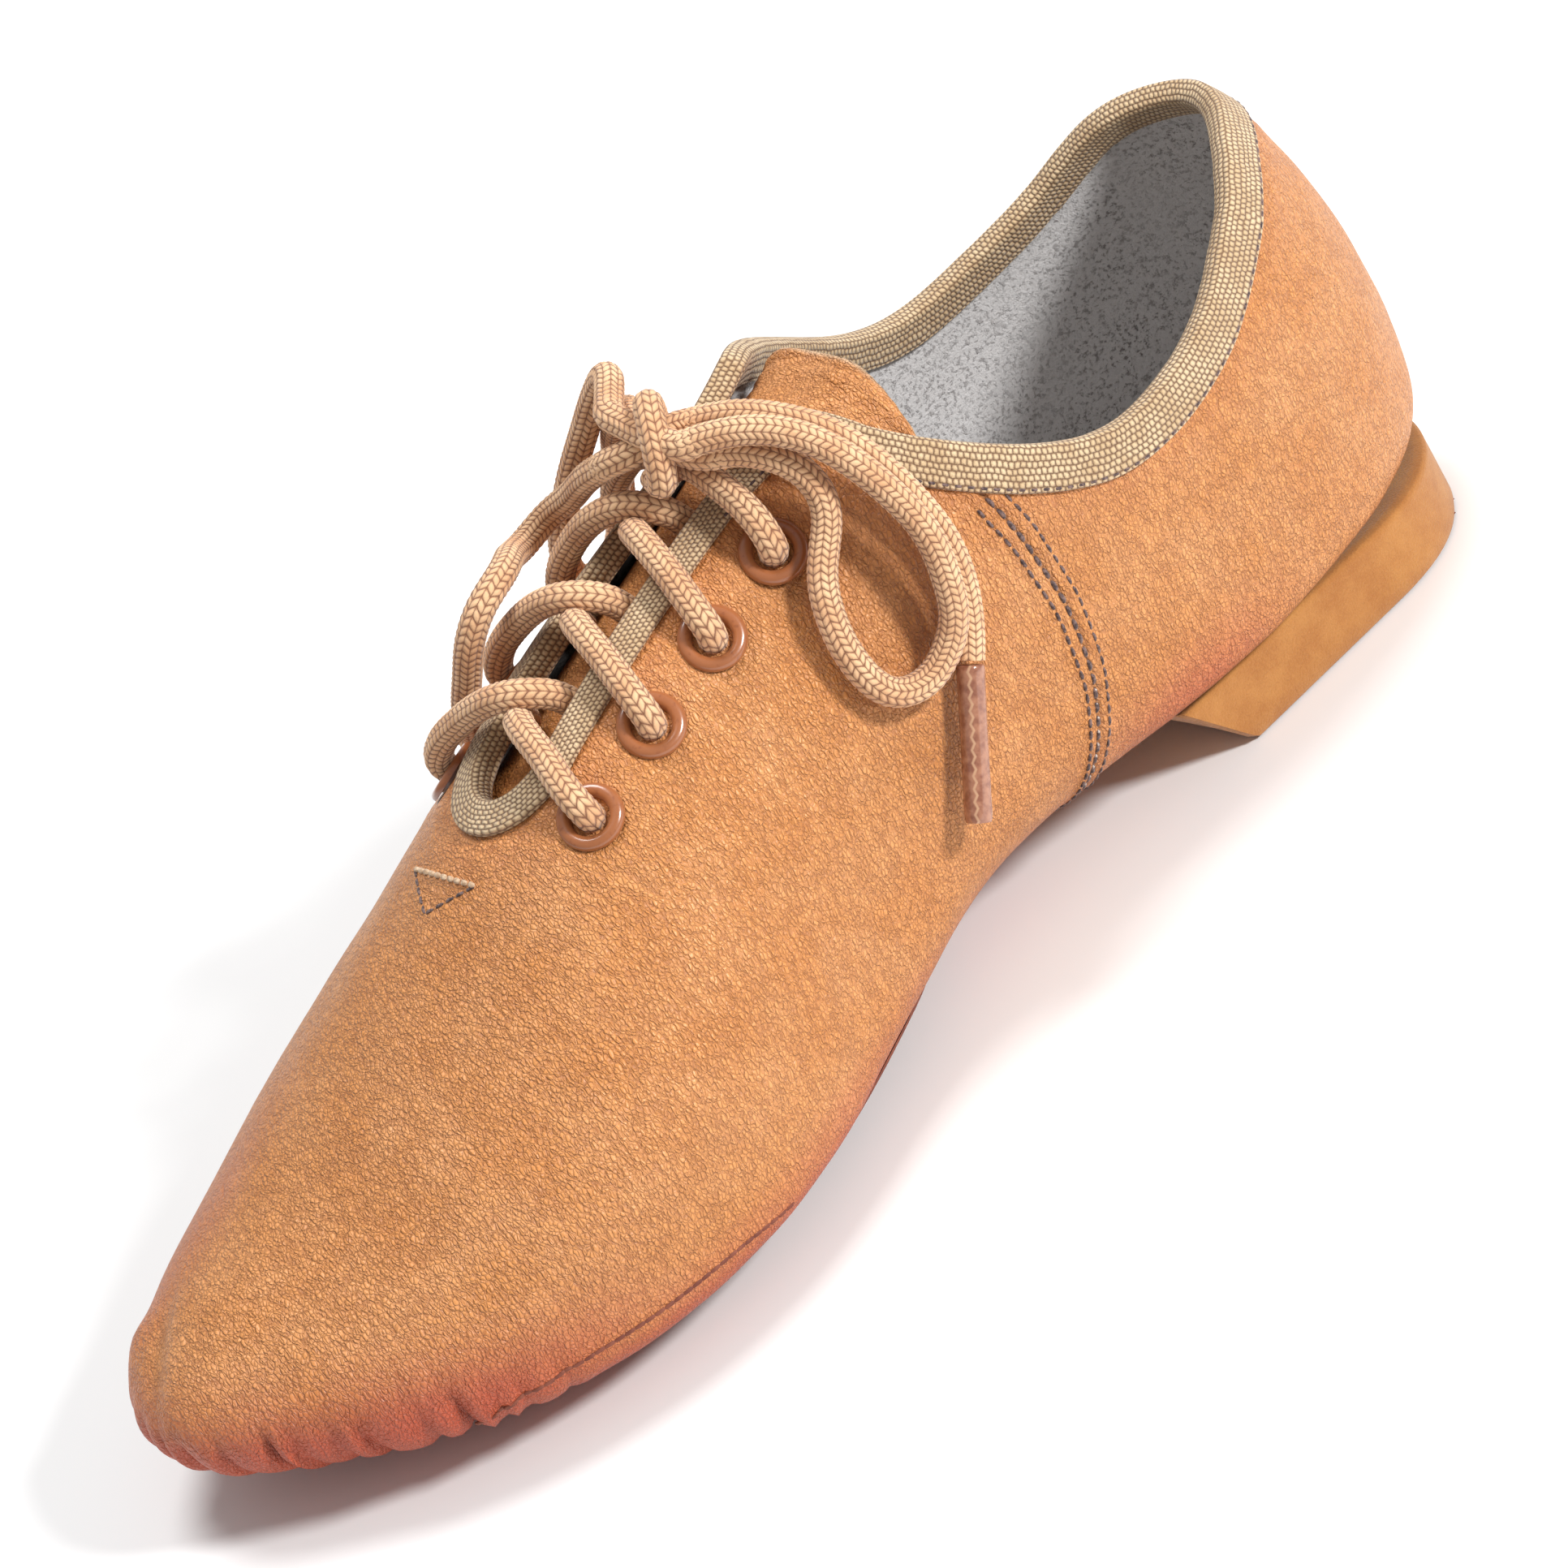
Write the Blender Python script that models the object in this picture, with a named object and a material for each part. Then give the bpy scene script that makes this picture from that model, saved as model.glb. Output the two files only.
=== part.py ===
"""A lace-up leather jazz shoe for the left foot, with a split sole.

The toe points along -X, the lateral side is -Y and +Z is up. The floor is z = 0, and the origin is the
middle of the heel's bearing face. "Along" always means the distance from the back of the heel to the toe.
"""

import math

import bpy
import bmesh
import numpy as np
from mathutils import Matrix, Vector
from mathutils.bvhtree import BVHTree

MM = 0.001

# Driving sizes of the last and the upper
LENGTH = 252 * MM
BALL_WIDTH = 86 * MM
INSTEP_HEIGHT = 86 * MM
BACK_HEIGHT = 76 * MM
WALL = 1.6 * MM
CLEARANCE = 0.3 * MM

# Sizes of the sole, heel and insole
SOLE_THICKNESS = 2.0 * MM
SOLE_LENGTH = 98 * MM
SOLE_WIDTH = 77 * MM
SOLE_MIDDLE = 168 * MM
SOLE_REAR_TAPER = 0.10
SOLE_INSIDE_RIM = 0.90
SOLE_EDGE_BLEND = 1.5 * MM
SOLE_SEAT_GAP = 0.45 * MM
HEEL_HEIGHT = 10.4 * MM
HEEL_LIFT_THICKNESS = 2.0 * MM
HEEL_WIDTH = 56 * MM
HEEL_BACK = 6 * MM
HEEL_FRONT = 77 * MM
HEEL_BREAST_SLOPE = 10.5 * MM
HEEL_FLARE = 0.8 * MM
HEEL_CUP = 2.0 * MM
HEEL_SEAT_GAP = 0.6 * MM
INSOLE_THICKNESS = 1.5 * MM
INSOLE_INSIDE_RIM = 0.68
LASTING_MARGIN = 11 * MM

# Sizes of the throat, its bindings and its eyelets
THROAT_BOTTOM = 165.5 * MM
THROAT_TOP = 96 * MM
THROAT_HALF_GAP = 7.0 * MM
THROAT_FLARE = 3.0 * MM
THROAT_ROUND = 9 * MM
TOE_FADE = 15 * MM
CORNER_ROUND = 0.13
COLLAR_BINDING_WIDTH = 6.0 * MM
THROAT_BINDING_WIDTH = 4.4 * MM
BINDING_THICKNESS = 0.8 * MM
BINDING_GAP = 0.6 * MM
SEAM_ALONG = 91 * MM
SEAM_HALF_WIDTH = 2.6 * MM
SEAM_RAISE = 0.45 * MM
EYELET_COUNT = 4
EYELET_FIRST = 160 * MM
EYELET_STEP = 14.5 * MM
EYELET_ACROSS = 17.2 * MM
EYELET_HOLE = 2.8 * MM
EYELET_FLANGE = 4.9 * MM
EYELET_PLATE = 0.9 * MM
EYELET_TUBE_WALL = 0.5 * MM
EYELET_SAG = 0.6 * MM

# Sizes of the tongue and the lace
TONGUE_THICKNESS = 1.4 * MM
TONGUE_FRONT = 184 * MM
TONGUE_BACK = 90 * MM
TONGUE_HALF_WIDTH = 24 * MM
TONGUE_ROUND = 0.10
TONGUE_DROP = 3.2 * MM
TONGUE_SEAM_GAP = 0.6 * MM
LACE = 4.4 * MM
AGLET = 4.0 * MM
AGLET_LENGTH = 22 * MM

# The rim is the widest line of the last, seen from above. "along" is a share of LENGTH, "across" of half
# BALL_WIDTH (left is minus) and "rise" of INSTEP_HEIGHT. "under" and "over" say how square the section is
# below and above the rim: 2 is an ellipse.
RIM_COLUMNS = ("along", "across", "rise", "under", "over")
RIM = {
    "toe tip": (1.000, 0.14, 0.205, 2.2, 2.1),
    "left toe": (0.957, -0.36, 0.195, 2.3, 2.1),
    "left toe corner": (0.893, -0.72, 0.185, 2.7, 2.1),
    "left little toe": (0.799, -0.98, 0.172, 3.2, 2.1),
    "left ball": (0.685, -1.02, 0.185, 3.2, 2.0),
    "left waist front": (0.552, -0.81, 0.250, 2.7, 1.95),
    "left waist": (0.436, -0.75, 0.370, 2.3, 1.95),
    "left heel front": (0.294, -0.77, 0.335, 3.4, 2.0),
    "left heel": (0.156, -0.74, 0.338, 4.2, 2.1),
    "left heel corner": (0.056, -0.52, 0.350, 4.2, 2.1),
    "heel back": (0.000, 0.00, 0.358, 4.2, 2.1),
    "right heel corner": (0.056, 0.50, 0.350, 4.2, 2.1),
    "right heel": (0.156, 0.72, 0.338, 4.2, 2.1),
    "right heel front": (0.294, 0.74, 0.335, 3.4, 2.0),
    "right waist": (0.436, 0.65, 0.345, 2.3, 1.95),
    "right waist front": (0.552, 0.73, 0.265, 2.7, 1.95),
    "right ball": (0.710, 0.96, 0.187, 3.2, 2.0),
    "right big joint": (0.809, 0.97, 0.178, 3.2, 2.1),
    "right toe corner": (0.908, 0.80, 0.182, 2.7, 2.1),
    "right toe": (0.975, 0.50, 0.195, 2.3, 2.1),
}

# The middle line of the last. "centre" is a share of half BALL_WIDTH, "lift" is the share of the heel's
# height by which the underside stands above the front sole, and "ridge" is a share of INSTEP_HEIGHT.
SPINE_COLUMNS = ("along", "centre", "lift", "ridge")
SPINE = {
    "heel": (0.116, 0.00, 1.00, 0.985),
    "heel seat": (0.215, 0.00, 1.00, 1.150),
    "heel front": (0.274, 0.00, 0.95, 1.180),
    "waist back": (0.353, 0.00, 0.74, 1.075),
    "waist": (0.433, 0.01, 0.47, 0.970),
    "waist front": (0.512, 0.01, 0.22, 0.903),
    "instep": (0.591, 0.00, 0.04, 0.826),
    "throat": (0.690, 0.02, 0.00, 0.682),
    "ball": (0.789, 0.06, 0.00, 0.520),
    "toes": (0.820, 0.07, 0.01, 0.474),
}

# The top edge of the quarters. "along" is a share of LENGTH, "left" and "right" are shares of BACK_HEIGHT.
COLLAR_COLUMNS = ("along", "left", "right")
COLLAR = {
    "back": (0.000, 0.978, 0.978),
    "back corner": (0.060, 0.956, 0.956),
    "behind the ankle": (0.118, 0.890, 0.866),
    "heel": (0.170, 0.815, 0.812),
    "low": (0.225, 0.772, 0.800),
    "side": (0.270, 0.775, 0.860),
    "rise": (0.310, 0.835, 0.965),
    "corner": (0.350, 0.935, 1.085),
    "on the instep": (0.390, 1.080, 1.220),
    "over the ridge": (0.440, 1.400, 1.450),
}

# The lace from an eyelet across the throat. "back" is a share of EYELET_STEP toward the heel, "across" a
# share of EYELET_ACROSS from the centre line, and "above" the height over the leather in lace diameters.
LACE_COLUMNS = ("back", "across", "above")
LACE_UNDER = {
    "in the eyelet": (0.00, 1.00, -0.10),
    "out of it": (0.00, 1.00, 0.62),
    "turned over": (0.04, 0.88, 1.05),
    "on the flap": (0.18, 0.56, 1.02),
    "over the edge": (0.32, 0.22, 0.98),
    "crossing": (0.40, 0.00, 0.62),
    "down": (0.45, -0.16, -0.05),
    "end": (0.46, -0.17, -0.30),
}
LACE_OVER = {
    "in the eyelet": (0.00, 1.00, -0.10),
    "out of it": (0.00, 1.00, 0.62),
    "turned over": (0.05, 0.86, 1.10),
    "on the flap": (0.22, 0.52, 1.30),
    "over the edge": (0.40, 0.22, 1.45),
    "crossing": (0.54, 0.00, 1.35),
    "down": (0.68, -0.14, 0.62),
    "dive": (0.74, -0.17, -0.05),
    "end": (0.75, -0.17, -0.30),
}
LACE_TO_KNOT = {
    "in the eyelet": (0.00, 1.00, -0.10),
    "out of it": (0.00, 1.00, 0.62),
    "turned over": (0.04, 0.88, 1.08),
    "on the flap": (0.10, 0.60, 1.12),
    "over the edge": (0.14, 0.30, 1.08),
    "under the knot": (0.14, 0.00, 0.90),
}

# Cords of the bow, as points (along, across, height) in millimetres.
KNOT = (119.5, -3.5, 92.2)
KNOT_SIZE = (6.0, 6.4, 5.2)
BOW = {
    "lace_loop_right": (
        (118.6, 3.6, 94.9), (115.8, 6.9, 95.0), (112.9, 10.2, 95.4), (111.8, 13.4, 94.4),
        (112.9, 17.0, 91.0), (114.9, 20.4, 86.4), (117.3, 23.4, 81.8), (120.0, 26.2, 76.6),
        (122.0, 29.6, 70.4), (122.0, 33.0, 64.0), (119.2, 35.0, 59.0), (115.0, 34.8, 58.8),
        (111.8, 32.6, 63.4), (110.6, 29.4, 69.6), (110.6, 25.6, 75.8), (111.4, 20.4, 82.2),
        (112.4, 13.8, 87.8), (113.6, 7.6, 91.0), (115.0, 3.8, 91.4),
    ),
    "lace_end_right": (
        (122.6, 2.6, 89.6), (123.8, 9.0, 86.6), (124.3, 15.4, 82.5), (127.0, 20.8, 79.4),
        (131.6, 21.0, 78.5), (136.4, 17.0, 80.6), (141.0, 12.0, 82.3), (146.6, 10.6, 81.3),
        (149.9, 12.0, 77.8), (151.5, 15.0, 72.5), (152.4, 19.0, 66.6), (151.6, 24.2, 60.6),
        (150.2, 29.4, 55.2),
    ),
    "lace_loop_left": (
        (118.0, -10.6, 91.6), (115.6, -13.4, 91.7), (111.5, -18.6, 90.9), (107.7, -23.7, 87.6),
        (105.3, -28.0, 82.4), (103.9, -31.2, 76.6), (103.3, -34.0, 69.7), (104.3, -35.1, 63.1),
        (106.1, -35.2, 57.4), (109.1, -34.2, 53.4), (113.2, -33.2, 51.3), (118.0, -32.0, 52.7),
        (120.0, -30.0, 58.0), (119.0, -27.4, 64.5), (116.0, -25.3, 70.1), (112.3, -24.3, 73.8),
        (109.8, -23.8, 77.4), (109.1, -21.5, 82.1), (111.1, -17.5, 86.1), (113.6, -13.4, 87.7),
        (115.2, -11.4, 88.0),
    ),
    "lace_end_left": (
        (112.4, -4.9, 90.2), (108.9, -11.0, 90.1), (105.5, -17.2, 87.9), (103.0, -21.7, 84.5),
        (101.2, -25.6, 79.3), (100.0, -29.1, 71.9), (99.9, -31.6, 64.5), (101.5, -32.9, 58.1),
        (103.9, -33.6, 53.2), (106.5, -34.2, 49.6),
    ),
}
AGLETS = {
    "aglet_left": ((106.8, -34.3, 49.1), (118.0, -37.4, 32.3)),
    "aglet_right": ((150.1, 29.7, 54.8), (147.0, 37.6, 35.2)),
}

# Resolution of the faceted solids
ROWS = 12
BODY_STATION = 9.0 * MM
CLOSEST_STATION = 2.6 * MM
CLOSEST_TO_SEAM = 1.2 * MM
FAN_STATIONS = 8
SKIN_ROWS = 40
SKIN_STATIONS = 260
LACE_SIDES = 8


def column(table, columns, name):
    """One named column of a table, as an array."""
    return np.array([row[columns.index(name)] for row in table.values()], float)


def spline(knots, values, period=None, flat_start=False):
    """A cubic spline through rows of values. With a period it is closed; otherwise its ends are straight,
    or the start is level if flat_start is set."""
    knots = np.asarray(knots, float)
    values = np.asarray(values, float)
    if period is not None:
        knots = np.append(knots, knots[0] + period)
        values = np.vstack([values, values[:1]])
    count = len(knots)
    gap = np.diff(knots)
    slope = np.diff(values, axis=0) / gap[:, None]
    matrix = np.zeros((count, count))
    right = np.zeros_like(values)
    for i in range(1, count - 1):
        matrix[i, i - 1 : i + 2] = gap[i - 1], 2 * (gap[i - 1] + gap[i]), gap[i]
        right[i] = 6 * (slope[i] - slope[i - 1])
    matrix[0, 0] = matrix[-1, -1] = 1
    if period is not None:
        matrix[0, -1] = -1
        matrix[-1] = 0
        matrix[-1, [0, 1, -2, -1]] = 2 * gap[0], gap[0], gap[-1], 2 * gap[-1]
        right[-1] = 6 * (slope[0] - slope[-1])
    elif flat_start:
        matrix[0, :2] = 2 * gap[0], gap[0]
        right[0] = 6 * slope[0]
    bend = np.linalg.solve(matrix, right)

    def value_at(x):
        x = np.asarray(x, float)
        if period is not None:
            x = knots[0] + np.mod(x - knots[0], period)
        k = np.clip(np.searchsorted(knots, x, side="right") - 1, 0, count - 2)
        after = (knots[k + 1] - x)[..., None]
        before = (x - knots[k])[..., None]
        width = gap[k][..., None]
        curved = (bend[k] * after**3 + bend[k + 1] * before**3) / (6 * width)
        straight = (values[k] / width - bend[k] * width / 6) * after
        straight = straight + (values[k + 1] / width - bend[k + 1] * width / 6) * before
        return curved + straight

    return value_at


class Last:
    """The form that the shoe is made on. Its surface is a ring of half sections, each a vertical plane from
    the middle line out to the rim. A half section's angle is -90 degrees under the foot, 0 at the rim and
    +90 on the ridge."""

    def __init__(self):
        along = column(RIM, RIM_COLUMNS, "along") * LENGTH
        across = column(RIM, RIM_COLUMNS, "across") * BALL_WIDTH / 2
        rise = column(RIM, RIM_COLUMNS, "rise") * INSTEP_HEIGHT
        squareness = [column(RIM, RIM_COLUMNS, name) for name in ("under", "over")]
        outline = np.column_stack([along, across])
        steps = np.linalg.norm(np.roll(outline, -1, axis=0) - outline, axis=1)
        knots = np.concatenate([[0], np.cumsum(steps)])
        self.girth = knots[-1]
        self.rim = spline(knots[:-1], np.column_stack([along, across, rise, *squareness]), period=self.girth)
        spine_along = column(SPINE, SPINE_COLUMNS, "along") * LENGTH
        centre = column(SPINE, SPINE_COLUMNS, "centre") * BALL_WIDTH / 2
        front_level = SOLE_THICKNESS + CLEARANCE
        heel_level = HEEL_HEIGHT + CLEARANCE
        keel = front_level + column(SPINE, SPINE_COLUMNS, "lift") * (heel_level - front_level)
        ridge = column(SPINE, SPINE_COLUMNS, "ridge") * INSTEP_HEIGHT
        self.spine = spline(spine_along, np.column_stack([centre, keel, ridge]), flat_start=True)
        self.first = spine_along[0]
        self.last = spine_along[-1]
        step = 0.5 * MM
        self.toe_slope = float((self.spine(self.last) - self.spine(self.last - step))[2] / step)
        heights = [column(COLLAR, COLLAR_COLUMNS, side) * BACK_HEIGHT for side in ("left", "right")]
        self.collar = spline(column(COLLAR, COLLAR_COLUMNS, "along") * LENGTH, np.column_stack(heights))
        self.collar_end = COLLAR["over the ridge"][0] * LENGTH
        places = np.linspace(0, self.girth, 4001)
        reach = self.rim(places)[:, 0]
        self.tip = places[np.argmax(reach)] % self.girth
        self.back = places[np.argmin(reach)]
        self.longest = reach.max()
        self.shortest = reach.min()
        self.sides = []
        tip_left = self.tip if self.tip < self.back else self.tip - self.girth
        for start, end in ((tip_left, self.back), (tip_left + self.girth, self.back)):
            walk = np.linspace(start, end, 2001)
            self.sides.append((walk, self.rim(walk)[:, 0]))

    def place(self, side, along):
        """The rim position on a side (0 is left, 1 is right) at a distance along the shoe."""
        walk, reach = self.sides[side]
        return np.interp(along, reach[::-1], walk[::-1])

    def half_section(self, place):
        """Everything that a half section is drawn from."""
        along, across, rise, under, over = np.moveaxis(self.rim(place), -1, 0)
        anchor = np.clip(along, self.first, self.last)
        centre, keel, ridge = np.moveaxis(self.spine(anchor), -1, 0)
        reach = np.stack([along - anchor, across - centre], -1)
        radius = np.linalg.norm(reach, axis=-1)
        toward = reach / radius[..., None]
        return anchor, centre, toward, radius, rise, keel, ridge, under, over

    def point(self, place, angle):
        """A point of the last's surface, as (along, across, height)."""
        anchor, centre, toward, radius, rise, keel, ridge, under, over = self.half_section(place)
        along_rim = self.rim(place)[..., 0]
        sine = np.sin(angle)
        square = np.where(sine < 0, under, over)
        out = np.clip(np.cos(angle), 0, None) ** (2 / square)
        up = np.abs(sine) ** (2 / square)
        forward = np.clip(along_rim - anchor, 0, None) * out
        drop = self.toe_slope * TOE_FADE * np.tanh(forward / TOE_FADE)
        height = np.where(sine < 0, rise - (rise - keel) * up, rise + (ridge + drop - rise) * up)
        seam = SEAM_RAISE * seam_profile(along_rim - SEAM_ALONG)
        spread = radius * out + seam * np.cos(angle)
        return np.stack(
            [anchor + toward[..., 0] * spread, centre + toward[..., 1] * spread, height + seam * sine], -1
        )

    def edge_angle(self, place):
        """The angle where the upper ends: at its collar, at the throat's edge or on the ridge."""
        along = self.rim(place)[..., 0]
        _, _, toward, radius, rise, _, ridge, _, over = self.half_section(place)
        inside = np.clip((THROAT_BOTTOM - along) / THROAT_ROUND, 0, 1)
        opened = np.clip((THROAT_TOP + 3 * THROAT_ROUND - along) / (3 * THROAT_ROUND), 0, 1)
        gap = THROAT_HALF_GAP * np.sqrt(1 - (1 - inside) ** 2) + THROAT_FLARE * opened**2
        throat = np.arccos(np.clip(gap / radius, 0, 1) ** (over / 2))
        left, right = np.moveaxis(self.collar(np.clip(along, 0, self.collar_end)), -1, 0)
        level = np.where(toward[..., 1] < 0, left, right)
        share = np.clip((level - rise) / (ridge - rise), 0, 1.3)
        collar = np.where(share < 1, np.arcsin(np.clip(share, 0, 1) ** (over / 2)), math.pi / 2 + share - 1)
        soft = -CORNER_ROUND * np.logaddexp(-throat / CORNER_ROUND, -collar / CORNER_ROUND)
        blend = np.clip((along - THROAT_TOP) / (2 * THROAT_ROUND), 0, 1)
        edge = soft * (1 - blend) + throat * blend
        low = np.clip((THROAT_TOP - 3 * THROAT_ROUND - along) / THROAT_ROUND, 0, 1)
        return np.where(along > THROAT_BOTTOM, math.pi / 2, edge * (1 - low) + collar * low)


def seam_profile(distance):
    """The pressed-open seam between vamp and quarter: two low welts with a groove between them."""
    share = np.clip(np.abs(distance) / SEAM_HALF_WIDTH, 0, 1)
    return np.sin(math.pi * share) ** 2 - 0.35 * (1 - share) ** 4


def soft_min(first, second, width):
    """The smaller of two values, with a rounded change from one to the other."""
    return -width * np.logaddexp(-first / width, -second / width)


def to_frame(points):
    """(along, across, height) to the shoe's own frame, whose origin is under the middle of the heel."""
    points = np.asarray(points, float).copy()
    heel_middle = (HEEL_BACK + HEEL_FRONT - HEEL_BREAST_SLOPE) / 2
    points[..., 0] = heel_middle - points[..., 0]
    return points


def new_material(name, colour, roughness, metallic=0.0):
    material = bpy.data.materials.new(name)
    material.use_nodes = True
    shader = material.node_tree.nodes["Principled BSDF"]
    shader.inputs["Base Color"].default_value = (*colour, 1)
    shader.inputs["Roughness"].default_value = roughness
    shader.inputs["Metallic"].default_value = metallic
    return material


def new_object(name, points, faces, material, weld=0.01 * MM, smooth_angle=40):
    """A mesh object from points and faces, welded, with its faces pointing out."""
    mesh = bpy.data.meshes.new(name)
    mesh.from_pydata([tuple(p) for p in points], [], faces)
    work = bmesh.new()
    work.from_mesh(mesh)
    bmesh.ops.remove_doubles(work, verts=work.verts, dist=weld)
    bmesh.ops.recalc_face_normals(work, faces=work.faces)
    work.to_mesh(mesh)
    work.free()
    obj = bpy.data.objects.new(name, mesh)
    bpy.context.scene.collection.objects.link(obj)
    mesh.shade_smooth()
    mesh.set_sharp_from_angle(angle=math.radians(smooth_angle))
    mesh.materials.append(material)
    return obj


def grid_faces(rows, columns, close_rows=False, close_columns=False, start=0):
    """Quads of a grid whose point (i, j) has the index start + i * columns + j."""
    faces = []
    for i in range(rows if close_rows else rows - 1):
        for j in range(columns if close_columns else columns - 1):
            k, m = (i + 1) % rows, (j + 1) % columns
            corners = [(i, j), (i, m), (k, m), (k, j)]
            faces.append([start + a * columns + b for a, b in corners])
    return faces


def loft(sections):
    """Points and faces of a closed solid through closed sections, with flat ends."""
    sections = np.asarray(sections, float)
    count, around = sections.shape[:2]
    faces = grid_faces(count, around, close_columns=True)
    faces.append(list(range(around))[::-1])
    faces.append([(count - 1) * around + k for k in range(around)])
    return sections.reshape(-1, 3), faces


def station_list(last):
    """Distances along the shoe of the upper's sections, closer at the toe, heel, throat and seam."""
    quarter = np.linspace(0, math.pi / 2, FAN_STATIONS)
    toe = last.longest - (last.longest - last.last) * (1 - np.cos(quarter))
    heel = last.shortest + (last.first - last.shortest) * (1 - np.cos(quarter))
    body = np.linspace(last.last, last.first, int((last.last - last.first) / BODY_STATION) + 1)
    throat = THROAT_BOTTOM - THROAT_ROUND * (1 - np.cos(np.linspace(0, math.pi / 2, 6)))
    corner = THROAT_TOP + THROAT_ROUND * np.array([-2.2, -1.6, -1.0, -0.4, 0.2, 0.9, 1.6])
    seam = SEAM_ALONG + SEAM_HALF_WIDTH * np.array([-1.0, -0.5, 0.0, 0.5, 1.0])
    keep = [x for x in body if min(np.abs(np.concatenate([throat, corner, seam]) - x)) > CLOSEST_STATION]
    keep += [x for x in corner if min(np.abs(seam - x)) > CLOSEST_TO_SEAM]
    return np.unique(np.round(np.concatenate([toe, heel, keep, throat, seam]), 7))[::-1]


def section_loop(last, along, rows, whole=False):
    """One section of the last's surface, from the left edge under the foot to the right edge."""
    halves = []
    for side in (0, 1):
        place = last.place(side, along)
        edge = math.pi / 2 if whole else float(last.edge_angle(place))
        angles = np.linspace(-math.pi / 2, edge, rows)
        halves.append(last.point(np.full(rows, place), angles))
    return np.concatenate([halves[0][::-1], halves[1][1:]])


def make_skin(last):
    """The last's whole outer surface, for seating the other pieces on it."""
    turn = (1 - np.cos(np.linspace(0, math.pi, SKIN_STATIONS))) / 2
    along = last.longest - (last.longest - last.shortest) * turn
    loops = [section_loop(last, x, SKIN_ROWS, whole=True) for x in along]
    points = to_frame(np.array(loops)).reshape(-1, 3)
    faces = grid_faces(len(loops), 2 * SKIN_ROWS - 1)
    work = bmesh.new()
    for p in points:
        work.verts.new(p)
    work.verts.ensure_lookup_table()
    for face in faces:
        work.faces.new([work.verts[k] for k in face])
    bmesh.ops.remove_doubles(work, verts=work.verts, dist=0.02 * MM)
    bmesh.ops.recalc_face_normals(work, faces=work.faces)
    tree = BVHTree.FromBMesh(work)
    work.free()
    return tree


def underside(skin, x, y, inside=0.0):
    """Height of the last's underside above the floor, or of a surface that far inside it. Beyond the rim it
    is the height of the last's nearest point."""
    spot, normal = skin.ray_cast(Vector((x, y, -INSTEP_HEIGHT)), Vector((0, 0, 1)))[:2]
    if spot is None:
        spot, normal = skin.find_nearest(Vector((x, y, 0)))[:2]
    return spot.z + inside / max(-normal.z, 0.4)


def topside(skin, x, y):
    """Height and outward normal of the last's top."""
    hit = skin.ray_cast(Vector((x, y, 2 * INSTEP_HEIGHT)), Vector((0, 0, -1)))
    return hit[0].z, hit[1]


def seat(skin, point, offset):
    """The point of the last's surface next to a point, moved out along the normal."""
    spot, normal = skin.find_nearest(Vector(point))[:2]
    return spot + normal * offset


def make_cutter(name, points, faces):
    cutter = new_object(name, points, faces, bpy.data.materials[0])
    cutter.hide_render = True
    cutter.display_type = "WIRE"
    return cutter


def add_cut(obj, cutter):
    cut = obj.modifiers.new(cutter.name, "BOOLEAN")
    cut.operation = "DIFFERENCE"
    cut.object = cutter


def add_union(obj, other):
    join = obj.modifiers.new(other.name, "BOOLEAN")
    join.operation = "UNION"
    join.object = other
    other.hide_render = True
    other.display_type = "WIRE"


def sole_outline(inset, count=28):
    """The front sole's outline: an egg with its narrow end to the waist, as (x, y)."""
    turn = np.linspace(0, 2 * math.pi, count, endpoint=False)
    half_length = SOLE_LENGTH / 2 - inset
    half_width = SOLE_WIDTH / 2 - inset
    square = 2 / 2.25
    ahead = np.sign(np.cos(turn)) * np.abs(np.cos(turn)) ** square
    aside = np.sign(np.sin(turn)) * np.abs(np.sin(turn)) ** square
    along = SOLE_MIDDLE + half_length * ahead
    across = half_width * aside * (1 + SOLE_REAR_TAPER * ahead)
    across += LAST.spine(np.clip(along, LAST.first, LAST.last))[:, 0]
    for side in (0, 1):
        edge = LAST.rim(LAST.place(side, along))[:, 1] * SOLE_INSIDE_RIM
        limit = np.abs(edge) - inset
        here = np.sign(across) == np.sign(edge)
        across = np.where(here, np.sign(edge) * soft_min(np.abs(across), limit, SOLE_EDGE_BLEND), across)
    return to_frame(np.column_stack([along, across, np.zeros(count)]))[:, :2]


def heel_outline(level, inset=0.0, count=16):
    """The heel's outline at a share of its height, from its left breast corner round the back, as (x, y)."""
    half_width = HEEL_WIDTH / 2 + HEEL_FLARE * (0.5 - level) - inset
    back = HEEL_BACK - HEEL_FLARE * (0.5 - level) + inset
    front = HEEL_FRONT - HEEL_BREAST_SLOPE * (1 - level) - inset
    middle = HEEL_BACK + half_width
    turn = np.linspace(-math.pi / 2, math.pi / 2, count)
    square = 2 / 2.3
    along = middle - (middle - back) * np.cos(turn) ** square
    across = half_width * np.sign(np.sin(turn)) * np.abs(np.sin(turn)) ** square
    corner = 0.96 * half_width
    breast = [(front, corner * share) for share in (1, 0.8, 0.5, 0.2, -0.2, -0.5, -0.8, -1)]
    outline = np.vstack([np.column_stack([along, across]), breast])
    return to_frame(np.column_stack([outline, np.zeros(len(outline))]))[:, :2]


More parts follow.
